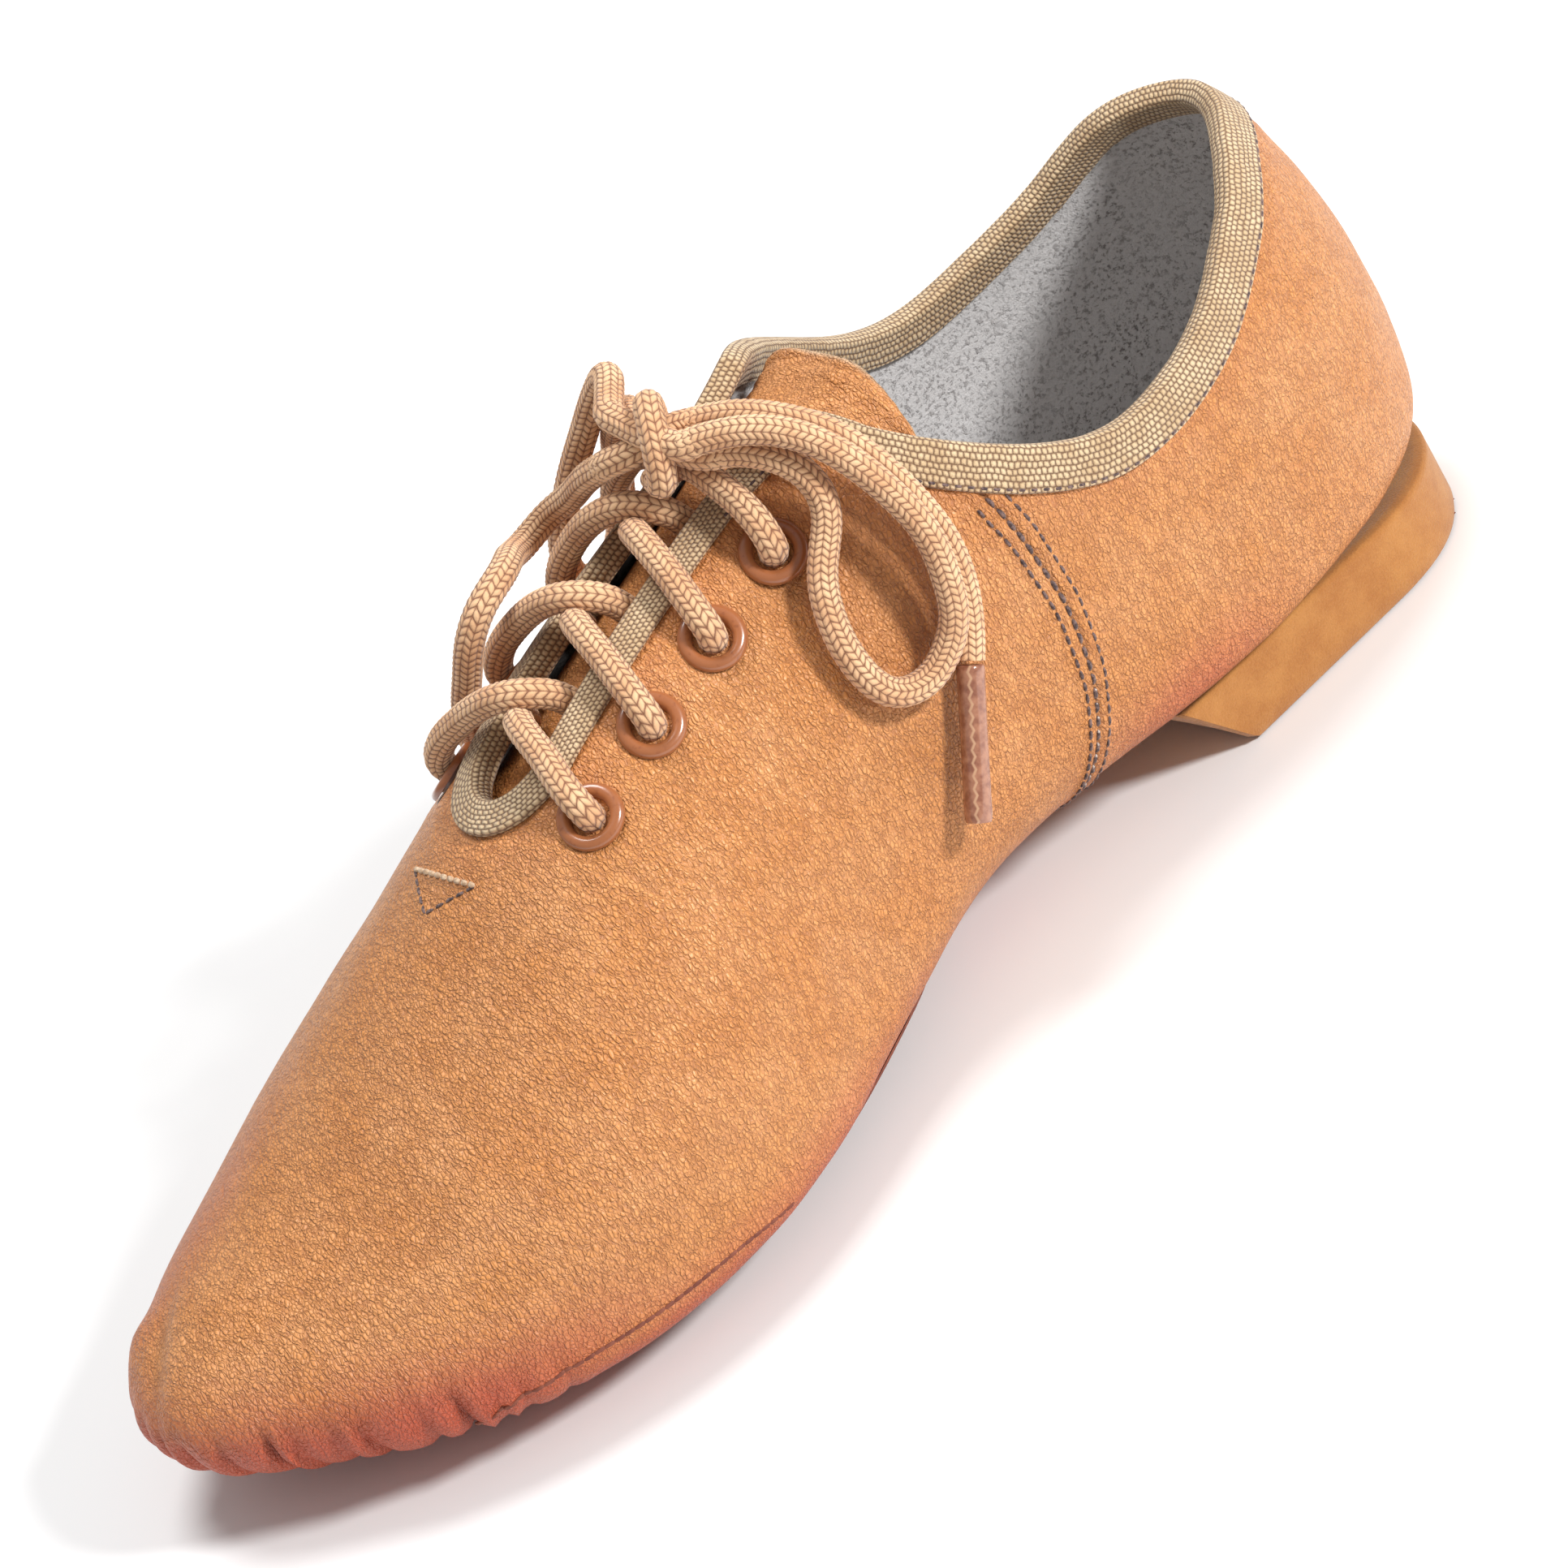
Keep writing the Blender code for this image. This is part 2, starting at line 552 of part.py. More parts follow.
def make_upper(last, skin, leather):
    """The vamp and quarters, one shell of leather and lining, open at the collar and throat, and underneath
    where the front sole and the heel close it."""
    loops = [section_loop(last, x, ROWS) for x in station_list(last)]
    points = to_frame(np.array(loops)).reshape(-1, 3)
    upper = new_object("upper", points, grid_faces(len(loops), 2 * ROWS - 1), leather, weld=0.02 * MM)
    wall = upper.modifiers.new("wall", "SOLIDIFY")
    wall.thickness = WALL
    wall.offset = -1
    for name, outline in (
        ("forefoot_opening", sole_outline(LASTING_MARGIN)),
        ("heel_opening", heel_outline(0.5, LASTING_MARGIN)),
    ):
        low = np.column_stack([outline, np.full(len(outline), -HEEL_HEIGHT)])
        high = low + [0, 0, 3 * HEEL_HEIGHT]
        add_cut(upper, make_cutter(name, *loft([low, high])))
    radius = EYELET_HOLE + EYELET_TUBE_WALL + CLEARANCE
    low, high = -6 * WALL, 4 * WALL
    drill = [(0, low), (radius, low), (radius, high), (0, high)]
    for side in (0, 1):
        for number in range(EYELET_COUNT):
            cutter = make_cutter(f"eyelet_hole_{side}_{number}", *turned(drill))
            cutter.matrix_world = facing(*eyelet_place(skin, side, number))
            add_cut(upper, cutter)
    return upper


def eyelet_place(skin, side, number):
    """Centre and outward normal of an eyelet. Number 0 is the one nearest the toe."""
    along = EYELET_FIRST - EYELET_STEP * number
    centre = LAST.spine(along)[0]
    across = centre + (-1, 1)[side] * EYELET_ACROSS
    x, y = to_frame((along, across, 0))[:2]
    height, normal = topside(skin, x, y)
    return Vector((x, y, height)), normal


def facing(spot, normal):
    """A matrix that stands a turned shape on a spot, with its axis along the normal."""
    return Matrix.Translation(spot) @ normal.to_track_quat("Z", "Y").to_matrix().to_4x4()


def turned(profile, sides=10):
    """Points and faces of a profile of (radius, height) spun about Z. It closes on itself or on the axis."""
    points, faces = [], []
    for k in range(sides):
        turn = 2 * math.pi * k / sides
        points += [(r * math.cos(turn), r * math.sin(turn), z) for r, z in profile]
    closed = profile[0][0] > 0
    faces = grid_faces(sides, len(profile), close_rows=True, close_columns=closed)
    return np.array(points), faces


def make_eyelets(skin, paint):
    """Painted brass eyelets: a rolled flange outside, a tube through the leather and a clinched rim inside."""
    inner = EYELET_HOLE
    tube = EYELET_HOLE + EYELET_TUBE_WALL
    under = -WALL - CLEARANCE - EYELET_SAG
    profile = [
        (tube, CLEARANCE),
        (EYELET_FLANGE, CLEARANCE),
        (tube + 0.6 * MM, CLEARANCE + EYELET_PLATE),
        (inner, CLEARANCE + 0.5 * EYELET_PLATE),
        (inner, under - EYELET_TUBE_WALL),
        (tube + 0.7 * MM, under - EYELET_TUBE_WALL),
        (tube + 0.7 * MM, under),
        (tube, under),
    ]
    for side, name in ((0, "left"), (1, "right")):
        for number in range(EYELET_COUNT):
            spot, normal = eyelet_place(skin, side, number)
            eyelet = new_object(f"eyelet_{name}_{number + 1}", *turned(profile), paint)
            eyelet.matrix_world = facing(spot, normal)


def edge_path(last, side_along):
    """The upper's edge through (side, along) pairs, and the way into the leather at each point."""
    places = np.array([last.place(side, along) for side, along in side_along])
    edges = last.edge_angle(places)
    inside = last.point(places, edges - 0.06)
    return to_frame(last.point(places, edges)), to_frame(inside)


def binding_section(skin, spot, tangent, inward, width):
    """The closed section of a tape folded over the upper's edge, at one place."""
    fold, normal = skin.find_nearest(Vector(spot))[:2]
    into = normal.cross(tangent).normalized()
    if into.dot(inward) < 0:
        into = -into
    near, far = BINDING_GAP, BINDING_GAP + BINDING_THICKNESS
    inner_near, inner_far = -WALL - 2 * near, -WALL - near - far
    folded = [
        (width, near), (-near, near), (-near, inner_near), (0.8 * width, inner_near), (0.8 * width, inner_far),
        (0, inner_far), (-far, -WALL), (-far, 0), (0, far), (width, far),
    ]
    section = []
    for depth, offset in folded:
        if depth > 0:
            section.append(seat(skin, fold + into * depth, offset))
        else:
            section.append(fold + into * depth + normal * offset)
    return section


def make_binding(last, skin, tape):
    """The woven tape folded over the edge of the throat and collar, in one closed ring."""
    down = [x for x in station_list(last) if x <= THROAT_BOTTOM + 0.001 * MM]
    side_along = [(0, x) for x in down] + [(1, x) for x in down[-2:0:-1]]
    path, inside = edge_path(last, side_along)
    sections = []
    for k, (_, along) in enumerate(side_along):
        tangent = Vector(path[(k + 1) % len(path)] - path[k - 1]).normalized()
        width = np.interp(
            along, (SEAM_ALONG, THROAT_TOP + 2 * THROAT_ROUND), (COLLAR_BINDING_WIDTH, THROAT_BINDING_WIDTH)
        )
        sections.append(binding_section(skin, path[k], tangent, Vector(inside[k] - path[k]), width))
    points = np.array(sections, float)
    faces = grid_faces(*points.shape[:2], close_rows=True, close_columns=True)
    return new_object("top_binding", points.reshape(-1, 3), faces, tape)


def make_front_sole(skin, rubber):
    """The front outsole: a thin rubber patch that follows the last and is flat where it meets the floor."""
    rings = []
    for share in (1.0, 0.96, 0.9, 0.8, 0.62, 0.3):
        outline = sole_outline(0)
        middle = outline.mean(axis=0)
        rings.append(middle + (outline - middle) * share)
    top, bottom = [], []
    for ring in rings:
        heights = np.array([underside(skin, x, y, -SOLE_SEAT_GAP) for x, y in ring])
        top.append(np.column_stack([ring, heights]))
        bottom.append(np.column_stack([ring, np.maximum(heights - SOLE_THICKNESS, 0)]))
    sections = np.array(top[::-1] + bottom)
    return new_object("sole_front", *loft(sections), rubber)


def make_heel(skin, suede, rubber):
    """The heel: a covered block cupped to the upper, with a slanted breast, and a rubber lift under it."""
    low = HEEL_LIFT_THICKNESS + CLEARANCE
    top_outline = heel_outline(1.0)
    middle = top_outline.mean(axis=0)
    sections = []
    for share in (0.15, 0.5, 0.7, 0.84, 0.93, 1.0):
        ring = middle + (top_outline - middle) * share
        heights = [min(underside(skin, x, y) - HEEL_SEAT_GAP, HEEL_HEIGHT + HEEL_CUP) for x, y in ring]
        sections.append(np.column_stack([ring, heights]))
    split = low / HEEL_HEIGHT
    foot = heel_outline(split)
    sections.append(np.column_stack([foot, np.full(len(foot), low)]))
    new_object("heel_block", *loft(sections), suede)
    lift = []
    for level, height in ((split, HEEL_LIFT_THICKNESS), (0.0, 0.0)):
        outline = heel_outline(level)
        lift.append(np.column_stack([outline, np.full(len(outline), height)]))
    new_object("heel_lift", *loft(lift), rubber)


def make_insole(last, skin, lining):
    """The insole, which lies on the upper's turned-in margin and shows at the bottom of the collar."""
    rise = WALL + 2 * CLEARANCE
    along = station_list(last)[::2]
    ring_places = [last.place(0, x) for x in along] + [last.place(1, x) for x in along[::-1][1:-1]]
    anchor, centre, toward, radius = last.half_section(np.array(ring_places))[:4]
    sections = []
    for share in (0.2, 0.6, 1.0):
        reach = (radius * INSOLE_INSIDE_RIM * share)[:, None] * toward
        ring = to_frame(np.column_stack([anchor + reach[:, 0], centre + reach[:, 1], np.zeros(len(anchor))]))
        heights = np.array([underside(skin, x, y, rise) for x, y in ring[:, :2]])
        sections.append(np.column_stack([ring[:, :2], heights]))
    over = [section + [0, 0, INSOLE_THICKNESS] for section in sections]
    rows = np.array(sections + over[::-1])
    count = rows.shape[1]
    faces = grid_faces(len(rows), count, close_columns=True)
    for start, flip in ((0, 1), ((len(rows) - 1) * count, -1)):
        ring = [start + k for k in range(count)]
        half = len(along)
        left, right = ring[:half], [ring[0]] + ring[: half - 2 : -1]
        for k in range(half - 1):
            face = [left[k], left[k + 1], right[k + 1], right[k]]
            faces.append([c for i, c in enumerate(face) if c not in face[:i]][::flip])
    return new_object("insole", rows.reshape(-1, 3), faces, lining)


def make_tongue(last, skin, leather):
    """The leather tongue, which lies under the throat and ends in a round tip above the top eyelets."""
    turn = np.linspace(0, 0.45 * math.pi, 6)
    straight = np.linspace(0, 1 - TONGUE_ROUND, 9)
    sections = []
    for share, bend in [(x, 0) for x in straight] + [(1 - TONGUE_ROUND * (1 - math.sin(t)), t) for t in turn[1:]]:
        along = TONGUE_FRONT + (TONGUE_BACK - TONGUE_FRONT) * share
        half = TONGUE_HALF_WIDTH * (0.72 + 0.28 * min(share / 0.6, 1)) * math.cos(bend) ** (2 / 2.6)
        seam, throat = WALL + TONGUE_SEAM_GAP, WALL + TONGUE_DROP
        sink = np.interp(along, (THROAT_BOTTOM - THROAT_ROUND, TONGUE_FRONT), (throat, seam))
        across = np.linspace(-half, half, 8) + float(last.spine(along)[0])
        top, under = [], []
        for y in across:
            x = to_frame((along, y, 0))[0]
            height, normal = topside(skin, x, y)
            top.append(Vector((x, y, height)) - normal * sink)
            under.append(top[-1] - normal * TONGUE_THICKNESS)
        sections.append(top + under[::-1])
    return new_object("tongue", *loft(sections), leather)


def smooth_route(points, spacing):
    """Points read at even steps from a smooth curve through hand-chosen points."""
    points = np.asarray(points, float)
    steps = np.linalg.norm(np.diff(points, axis=0), axis=1)
    knots = np.concatenate([[0], np.cumsum(steps)])
    count = max(3, int(round(knots[-1] / spacing)) + 1)
    return spline(knots, points)(np.linspace(0, knots[-1], count))


def round_cord(points, radius, sides=LACE_SIDES):
    """Points and faces of a round cord through a smooth route, with flat ends."""
    sections = []
    side = Vector((0, 1, 0)).cross(Vector(points[1] - points[0])).normalized()
    for k, point in enumerate(points):
        ahead = points[min(k + 1, len(points) - 1)] - points[max(k - 1, 0)]
        tangent = Vector(ahead).normalized()
        side = (side - tangent * side.dot(tangent)).normalized()
        up = tangent.cross(side)
        turns = [2 * math.pi * j / sides for j in range(sides)]
        sections.append([Vector(point) + (side * math.cos(t) + up * math.sin(t)) * radius for t in turns])
    return loft(sections)


def curve_cord(name, points, radius, spacing, material):
    """A free cord, as a curve with a round bevel and filled ends."""
    curve = bpy.data.curves.new(name, "CURVE")
    curve.dimensions = "3D"
    curve.bevel_depth = radius
    curve.bevel_resolution = 2
    curve.use_fill_caps = True
    route = smooth_route(points, spacing)
    line = curve.splines.new("POLY")
    line.points.add(len(route) - 1)
    for spot, place in zip(line.points, route):
        spot.co = (*place, 1)
    obj = bpy.data.objects.new(name, curve)
    bpy.context.scene.collection.objects.link(obj)
    curve.materials.append(material)
    return obj


def lace_route(skin, side, number, table):
    """The lace's route from one eyelet over the throat."""
    direction = (-1, 1)[side]
    route = []
    for back, across, above in table.values():
        along = EYELET_FIRST - EYELET_STEP * (number + back)
        y = LAST.spine(along)[0] + direction * across * EYELET_ACROSS
        x = to_frame((along, y, 0))[0]
        height, normal = topside(skin, x, y)
        route.append(Vector((x, y, height)) + normal * above * LACE)
    return np.array(route)


def make_lace(skin, cotton, plastic):
    """The braided lace: three crossings over the throat, a bar at the top eyelets, and the bow."""
    for number in range(EYELET_COUNT - 1):
        under = smooth_route(lace_route(skin, 0, number, LACE_UNDER), 0.72 * LACE)
        over = smooth_route(lace_route(skin, 1, number, LACE_OVER), 0.8 * LACE)
        crossing = new_object(f"lace_crossing_{number + 1}", *round_cord(under, LACE / 2), cotton)
        add_union(crossing, new_object(f"lace_over_{number + 1}", *round_cord(over, LACE / 2), cotton))
    left, right = (lace_route(skin, side, EYELET_COUNT - 1, LACE_TO_KNOT) for side in (0, 1))
    bar = smooth_route(np.vstack([left, right[-2::-1]]), 0.8 * LACE)
    new_object("lace_bar", *round_cord(bar, LACE / 2), cotton)
    arc = [(math.sin(t), -math.cos(t)) for t in np.linspace(0, math.pi, 8)]
    points, faces = turned(arc)
    knot = to_frame(points * KNOT_SIZE * MM * (-1, 1, 1) + np.array(KNOT) * MM)
    new_object("lace_knot", knot, faces, cotton)
    for name, points in BOW.items():
        curve_cord(name, to_frame(np.array(points) * MM), LACE / 2, 2.1 * LACE, cotton)
    for name, points in AGLETS.items():
        start, end = (Vector(to_frame(np.array(point) * MM)) for point in points)
        along = (end - start).normalized()
        tip = [np.array(start + along * depth) for depth in (CLEARANCE, AGLET_LENGTH / 2, AGLET_LENGTH)]
        new_object(name, *round_cord(tip, AGLET / 2), plastic)


def clear_scene():
    for obj in list(bpy.data.objects):
        bpy.data.objects.remove(obj)


clear_scene()
LAST = Last()


def main():
    leather = new_material("tan_leather", (0.58, 0.27, 0.10), 0.45)
    tape = new_material("woven_tape", (0.55, 0.36, 0.18), 0.85)
    suede = new_material("heel_suede", (0.55, 0.28, 0.09), 0.9)
    rubber = new_material("brown_rubber", (0.24, 0.08, 0.04), 0.6)
    lining = new_material("grey_lining", (0.62, 0.62, 0.62), 0.95)
    paint = new_material("eyelet_enamel", (0.48, 0.20, 0.10), 0.3)
    cotton = new_material("braided_lace", (0.50, 0.24, 0.11), 0.8)
    plastic = new_material("aglet_plastic", (0.30, 0.09, 0.04), 0.3)
    skin = make_skin(LAST)
    make_upper(LAST, skin, leather)
    make_binding(LAST, skin, tape)
    make_eyelets(skin, paint)
    make_front_sole(skin, rubber)
    make_heel(skin, suede, rubber)
    make_insole(LAST, skin, lining)
    make_tongue(LAST, skin, leather)
    make_lace(skin, cotton, plastic)


main()
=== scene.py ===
# %% [markdown]
# # A tan leather jazz shoe in Blender
#
# The shoe is a left one. Its toe points along -X, its outer side is at -Y, and it stands on the floor at z = 0.
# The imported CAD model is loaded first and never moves. Each CAD solid is then hidden behind a finer piece that
# lies in the same place, because a solid for physics has no grain, stitches or braid.

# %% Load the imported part
import math

import bmesh
import bpy
import numpy as np
from mathutils import Matrix, Vector, noise
from mathutils.bvhtree import BVHTree
from mathutils.kdtree import KDTree


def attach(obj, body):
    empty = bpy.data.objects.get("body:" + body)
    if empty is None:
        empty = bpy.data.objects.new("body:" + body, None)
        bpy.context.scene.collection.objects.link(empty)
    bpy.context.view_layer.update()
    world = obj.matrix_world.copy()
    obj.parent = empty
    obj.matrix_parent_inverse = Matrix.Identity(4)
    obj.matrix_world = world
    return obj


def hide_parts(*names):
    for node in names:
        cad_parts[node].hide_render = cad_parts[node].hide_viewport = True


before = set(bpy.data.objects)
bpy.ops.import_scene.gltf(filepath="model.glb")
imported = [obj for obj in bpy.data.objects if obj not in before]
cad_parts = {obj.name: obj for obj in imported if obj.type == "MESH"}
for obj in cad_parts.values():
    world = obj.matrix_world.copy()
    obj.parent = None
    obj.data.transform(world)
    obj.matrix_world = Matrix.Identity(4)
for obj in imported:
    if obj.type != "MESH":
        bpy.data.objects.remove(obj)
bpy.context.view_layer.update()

MM = 0.001

# %% [markdown]
# ## The camera
#
# The shoe is seen from its outer side, a little from the front and from above, and rolled, because it leaned on
# its heel when it was photographed. A camera could be aimed by hand until it looks right. Here its place was
# worked out from the eyelets, the collar and the outline, so it is typed in as a place and three angles.

# %% Camera
CAMERA_PLACE = (-0.35261, -0.5603, 0.40807)
CAMERA_TURN = (55.279, 24.491, -41.306)
CAMERA_LENS = 116

camera = bpy.data.objects.new("camera", bpy.data.cameras.new("camera"))
bpy.context.scene.collection.objects.link(camera)
camera.location = CAMERA_PLACE
camera.rotation_euler = [math.radians(angle) for angle in CAMERA_TURN]
camera.data.lens = CAMERA_LENS
camera.data.sensor_width = 36
camera.data.clip_start = 0.01
bpy.context.scene.camera = camera
print("camera", round(Vector(CAMERA_PLACE).length, 3), "m from the heel")

# %% [markdown]
# ## The form of the last
#
# A shoe is pulled over a wooden last, so every soft piece follows one form. The CAD source draws that form from
# two tables: the rim, which is the widest line seen from above, and the spine, which gives the underside and the
# ridge. The same tables are repeated here. A sculpted mesh could look as good, but pieces made from one
# function always fit each other and the solids.

# %% Sizes of the shoe
LENGTH = 252 * MM
BALL_WIDTH = 86 * MM
INSTEP_HEIGHT = 86 * MM
BACK_HEIGHT = 76 * MM
WALL = 1.6 * MM
CLEARANCE = 0.3 * MM
SOLE_THICKNESS = 2.0 * MM
SOLE_LENGTH = 98 * MM
SOLE_WIDTH = 77 * MM
SOLE_MIDDLE = 168 * MM
SOLE_REAR_TAPER = 0.10
SOLE_INSIDE_RIM = 0.90
SOLE_EDGE_BLEND = 1.5 * MM
HEEL_HEIGHT = 10.4 * MM
HEEL_LIFT_THICKNESS = 2.0 * MM
HEEL_WIDTH = 56 * MM
HEEL_BACK = 6 * MM
HEEL_FRONT = 77 * MM
HEEL_BREAST_SLOPE = 10.5 * MM
HEEL_FLARE = 0.8 * MM
HEEL_CUP = 2.0 * MM
THROAT_BOTTOM = 165.5 * MM
THROAT_TOP = 96 * MM
THROAT_HALF_GAP = 7.0 * MM
THROAT_FLARE = 3.0 * MM
THROAT_ROUND = 9 * MM
TOE_FADE = 15 * MM
CORNER_ROUND = 0.13
COLLAR_BINDING_WIDTH = 6.0 * MM
THROAT_BINDING_WIDTH = 4.4 * MM
SEAM_ALONG = 91 * MM
SEAM_HALF_WIDTH = 2.6 * MM
SEAM_RAISE = 0.45 * MM
EYELET_COUNT = 4
EYELET_FIRST = 160 * MM
EYELET_STEP = 14.5 * MM
EYELET_ACROSS = 17.2 * MM
EYELET_HOLE = 2.8 * MM
EYELET_FLANGE = 4.9 * MM
EYELET_PLATE = 0.9 * MM
EYELET_TUBE_WALL = 0.5 * MM
INSOLE_INSIDE_RIM = 0.68
INSOLE_THICKNESS = 1.5 * MM
TONGUE_THICKNESS = 1.4 * MM
TONGUE_FRONT = 184 * MM
TONGUE_BACK = 90 * MM
TONGUE_HALF_WIDTH = 24 * MM
TONGUE_DROP = 3.2 * MM
TONGUE_SEAM_GAP = 0.6 * MM
LACE = 4.4 * MM
AGLET = 4.0 * MM

RIM_COLUMNS = ("along", "across", "rise", "under", "over")
RIM = {
    "toe tip": (1.000, 0.14, 0.205, 2.2, 2.1),
    "left toe": (0.957, -0.36, 0.195, 2.3, 2.1),
    "left toe corner": (0.893, -0.72, 0.185, 2.7, 2.1),
    "left little toe": (0.799, -0.98, 0.172, 3.2, 2.1),
    "left ball": (0.685, -1.02, 0.185, 3.2, 2.0),
    "left waist front": (0.552, -0.81, 0.250, 2.7, 1.95),
    "left waist": (0.436, -0.75, 0.370, 2.3, 1.95),
    "left heel front": (0.294, -0.77, 0.335, 3.4, 2.0),
    "left heel": (0.156, -0.74, 0.338, 4.2, 2.1),
    "left heel corner": (0.056, -0.52, 0.350, 4.2, 2.1),
    "heel back": (0.000, 0.00, 0.358, 4.2, 2.1),
    "right heel corner": (0.056, 0.50, 0.350, 4.2, 2.1),
    "right heel": (0.156, 0.72, 0.338, 4.2, 2.1),
    "right heel front": (0.294, 0.74, 0.335, 3.4, 2.0),
    "right waist": (0.436, 0.65, 0.345, 2.3, 1.95),
    "right waist front": (0.552, 0.73, 0.265, 2.7, 1.95),
    "right ball": (0.710, 0.96, 0.187, 3.2, 2.0),
    "right big joint": (0.809, 0.97, 0.178, 3.2, 2.1),
    "right toe corner": (0.908, 0.80, 0.182, 2.7, 2.1),
    "right toe": (0.975, 0.50, 0.195, 2.3, 2.1),
}
SPINE_COLUMNS = ("along", "centre", "lift", "ridge")
SPINE = {
    "heel": (0.116, 0.00, 1.00, 0.985),
    "heel seat": (0.215, 0.00, 1.00, 1.150),
    "heel front": (0.274, 0.00, 0.95, 1.180),
    "waist back": (0.353, 0.00, 0.74, 1.075),
    "waist": (0.433, 0.01, 0.47, 0.970),
    "waist front": (0.512, 0.01, 0.22, 0.903),
    "instep": (0.591, 0.00, 0.04, 0.826),
    "throat": (0.690, 0.02, 0.00, 0.682),
    "ball": (0.789, 0.06, 0.00, 0.520),
    "toes": (0.820, 0.07, 0.01, 0.474),
}
COLLAR_COLUMNS = ("along", "left", "right")
COLLAR = {
    "back": (0.000, 0.978, 0.978),
    "back corner": (0.060, 0.956, 0.956),
    "behind the ankle": (0.118, 0.890, 0.866),
    "heel": (0.170, 0.815, 0.812),
    "low": (0.225, 0.772, 0.800),
    "side": (0.270, 0.775, 0.860),
    "rise": (0.310, 0.835, 0.965),
    "corner": (0.350, 0.935, 1.085),
    "on the instep": (0.390, 1.080, 1.220),
    "over the ridge": (0.440, 1.400, 1.450),
}
print("a shoe", round(LENGTH / MM), "mm long and", round(BALL_WIDTH / MM), "mm wide at the ball")

# %% A smooth line through a table's rows


def column(table, columns, name):
    """One named column of a table, as an array."""
    return np.array([row[columns.index(name)] for row in table.values()], float)


def spline(knots, values, period=None, flat_start=False):
    """A cubic spline through rows of values. With a period it is closed; otherwise its ends are straight,
    or the start is level if flat_start is set."""
    knots = np.asarray(knots, float)
    values = np.asarray(values, float)
    if period is not None:
        knots = np.append(knots, knots[0] + period)
        values = np.vstack([values, values[:1]])
    count = len(knots)
    gap = np.diff(knots)
    slope = np.diff(values, axis=0) / gap[:, None]
    matrix = np.zeros((count, count))
    right = np.zeros_like(values)
    for i in range(1, count - 1):
        matrix[i, i - 1 : i + 2] = gap[i - 1], 2 * (gap[i - 1] + gap[i]), gap[i]
        right[i] = 6 * (slope[i] - slope[i - 1])
    matrix[0, 0] = matrix[-1, -1] = 1
    if period is not None:
        matrix[0, -1] = -1
        matrix[-1] = 0
        matrix[-1, [0, 1, -2, -1]] = 2 * gap[0], gap[0], gap[-1], 2 * gap[-1]
        right[-1] = 6 * (slope[0] - slope[-1])
    elif flat_start:
        matrix[0, :2] = 2 * gap[0], gap[0]
        right[0] = 6 * slope[0]
    bend = np.linalg.solve(matrix, right)

    def value_at(x):
        x = np.asarray(x, float)
        if period is not None:
            x = knots[0] + np.mod(x - knots[0], period)
        k = np.clip(np.searchsorted(knots, x, side="right") - 1, 0, count - 2)
        after = (knots[k + 1] - x)[..., None]
        before = (x - knots[k])[..., None]
        width = gap[k][..., None]
        curved = (bend[k] * after**3 + bend[k + 1] * before**3) / (6 * width)
        straight = (values[k] / width - bend[k] * width / 6) * after
        straight = straight + (values[k + 1] / width - bend[k + 1] * width / 6) * before
        return curved + straight

    return value_at


# %% The last


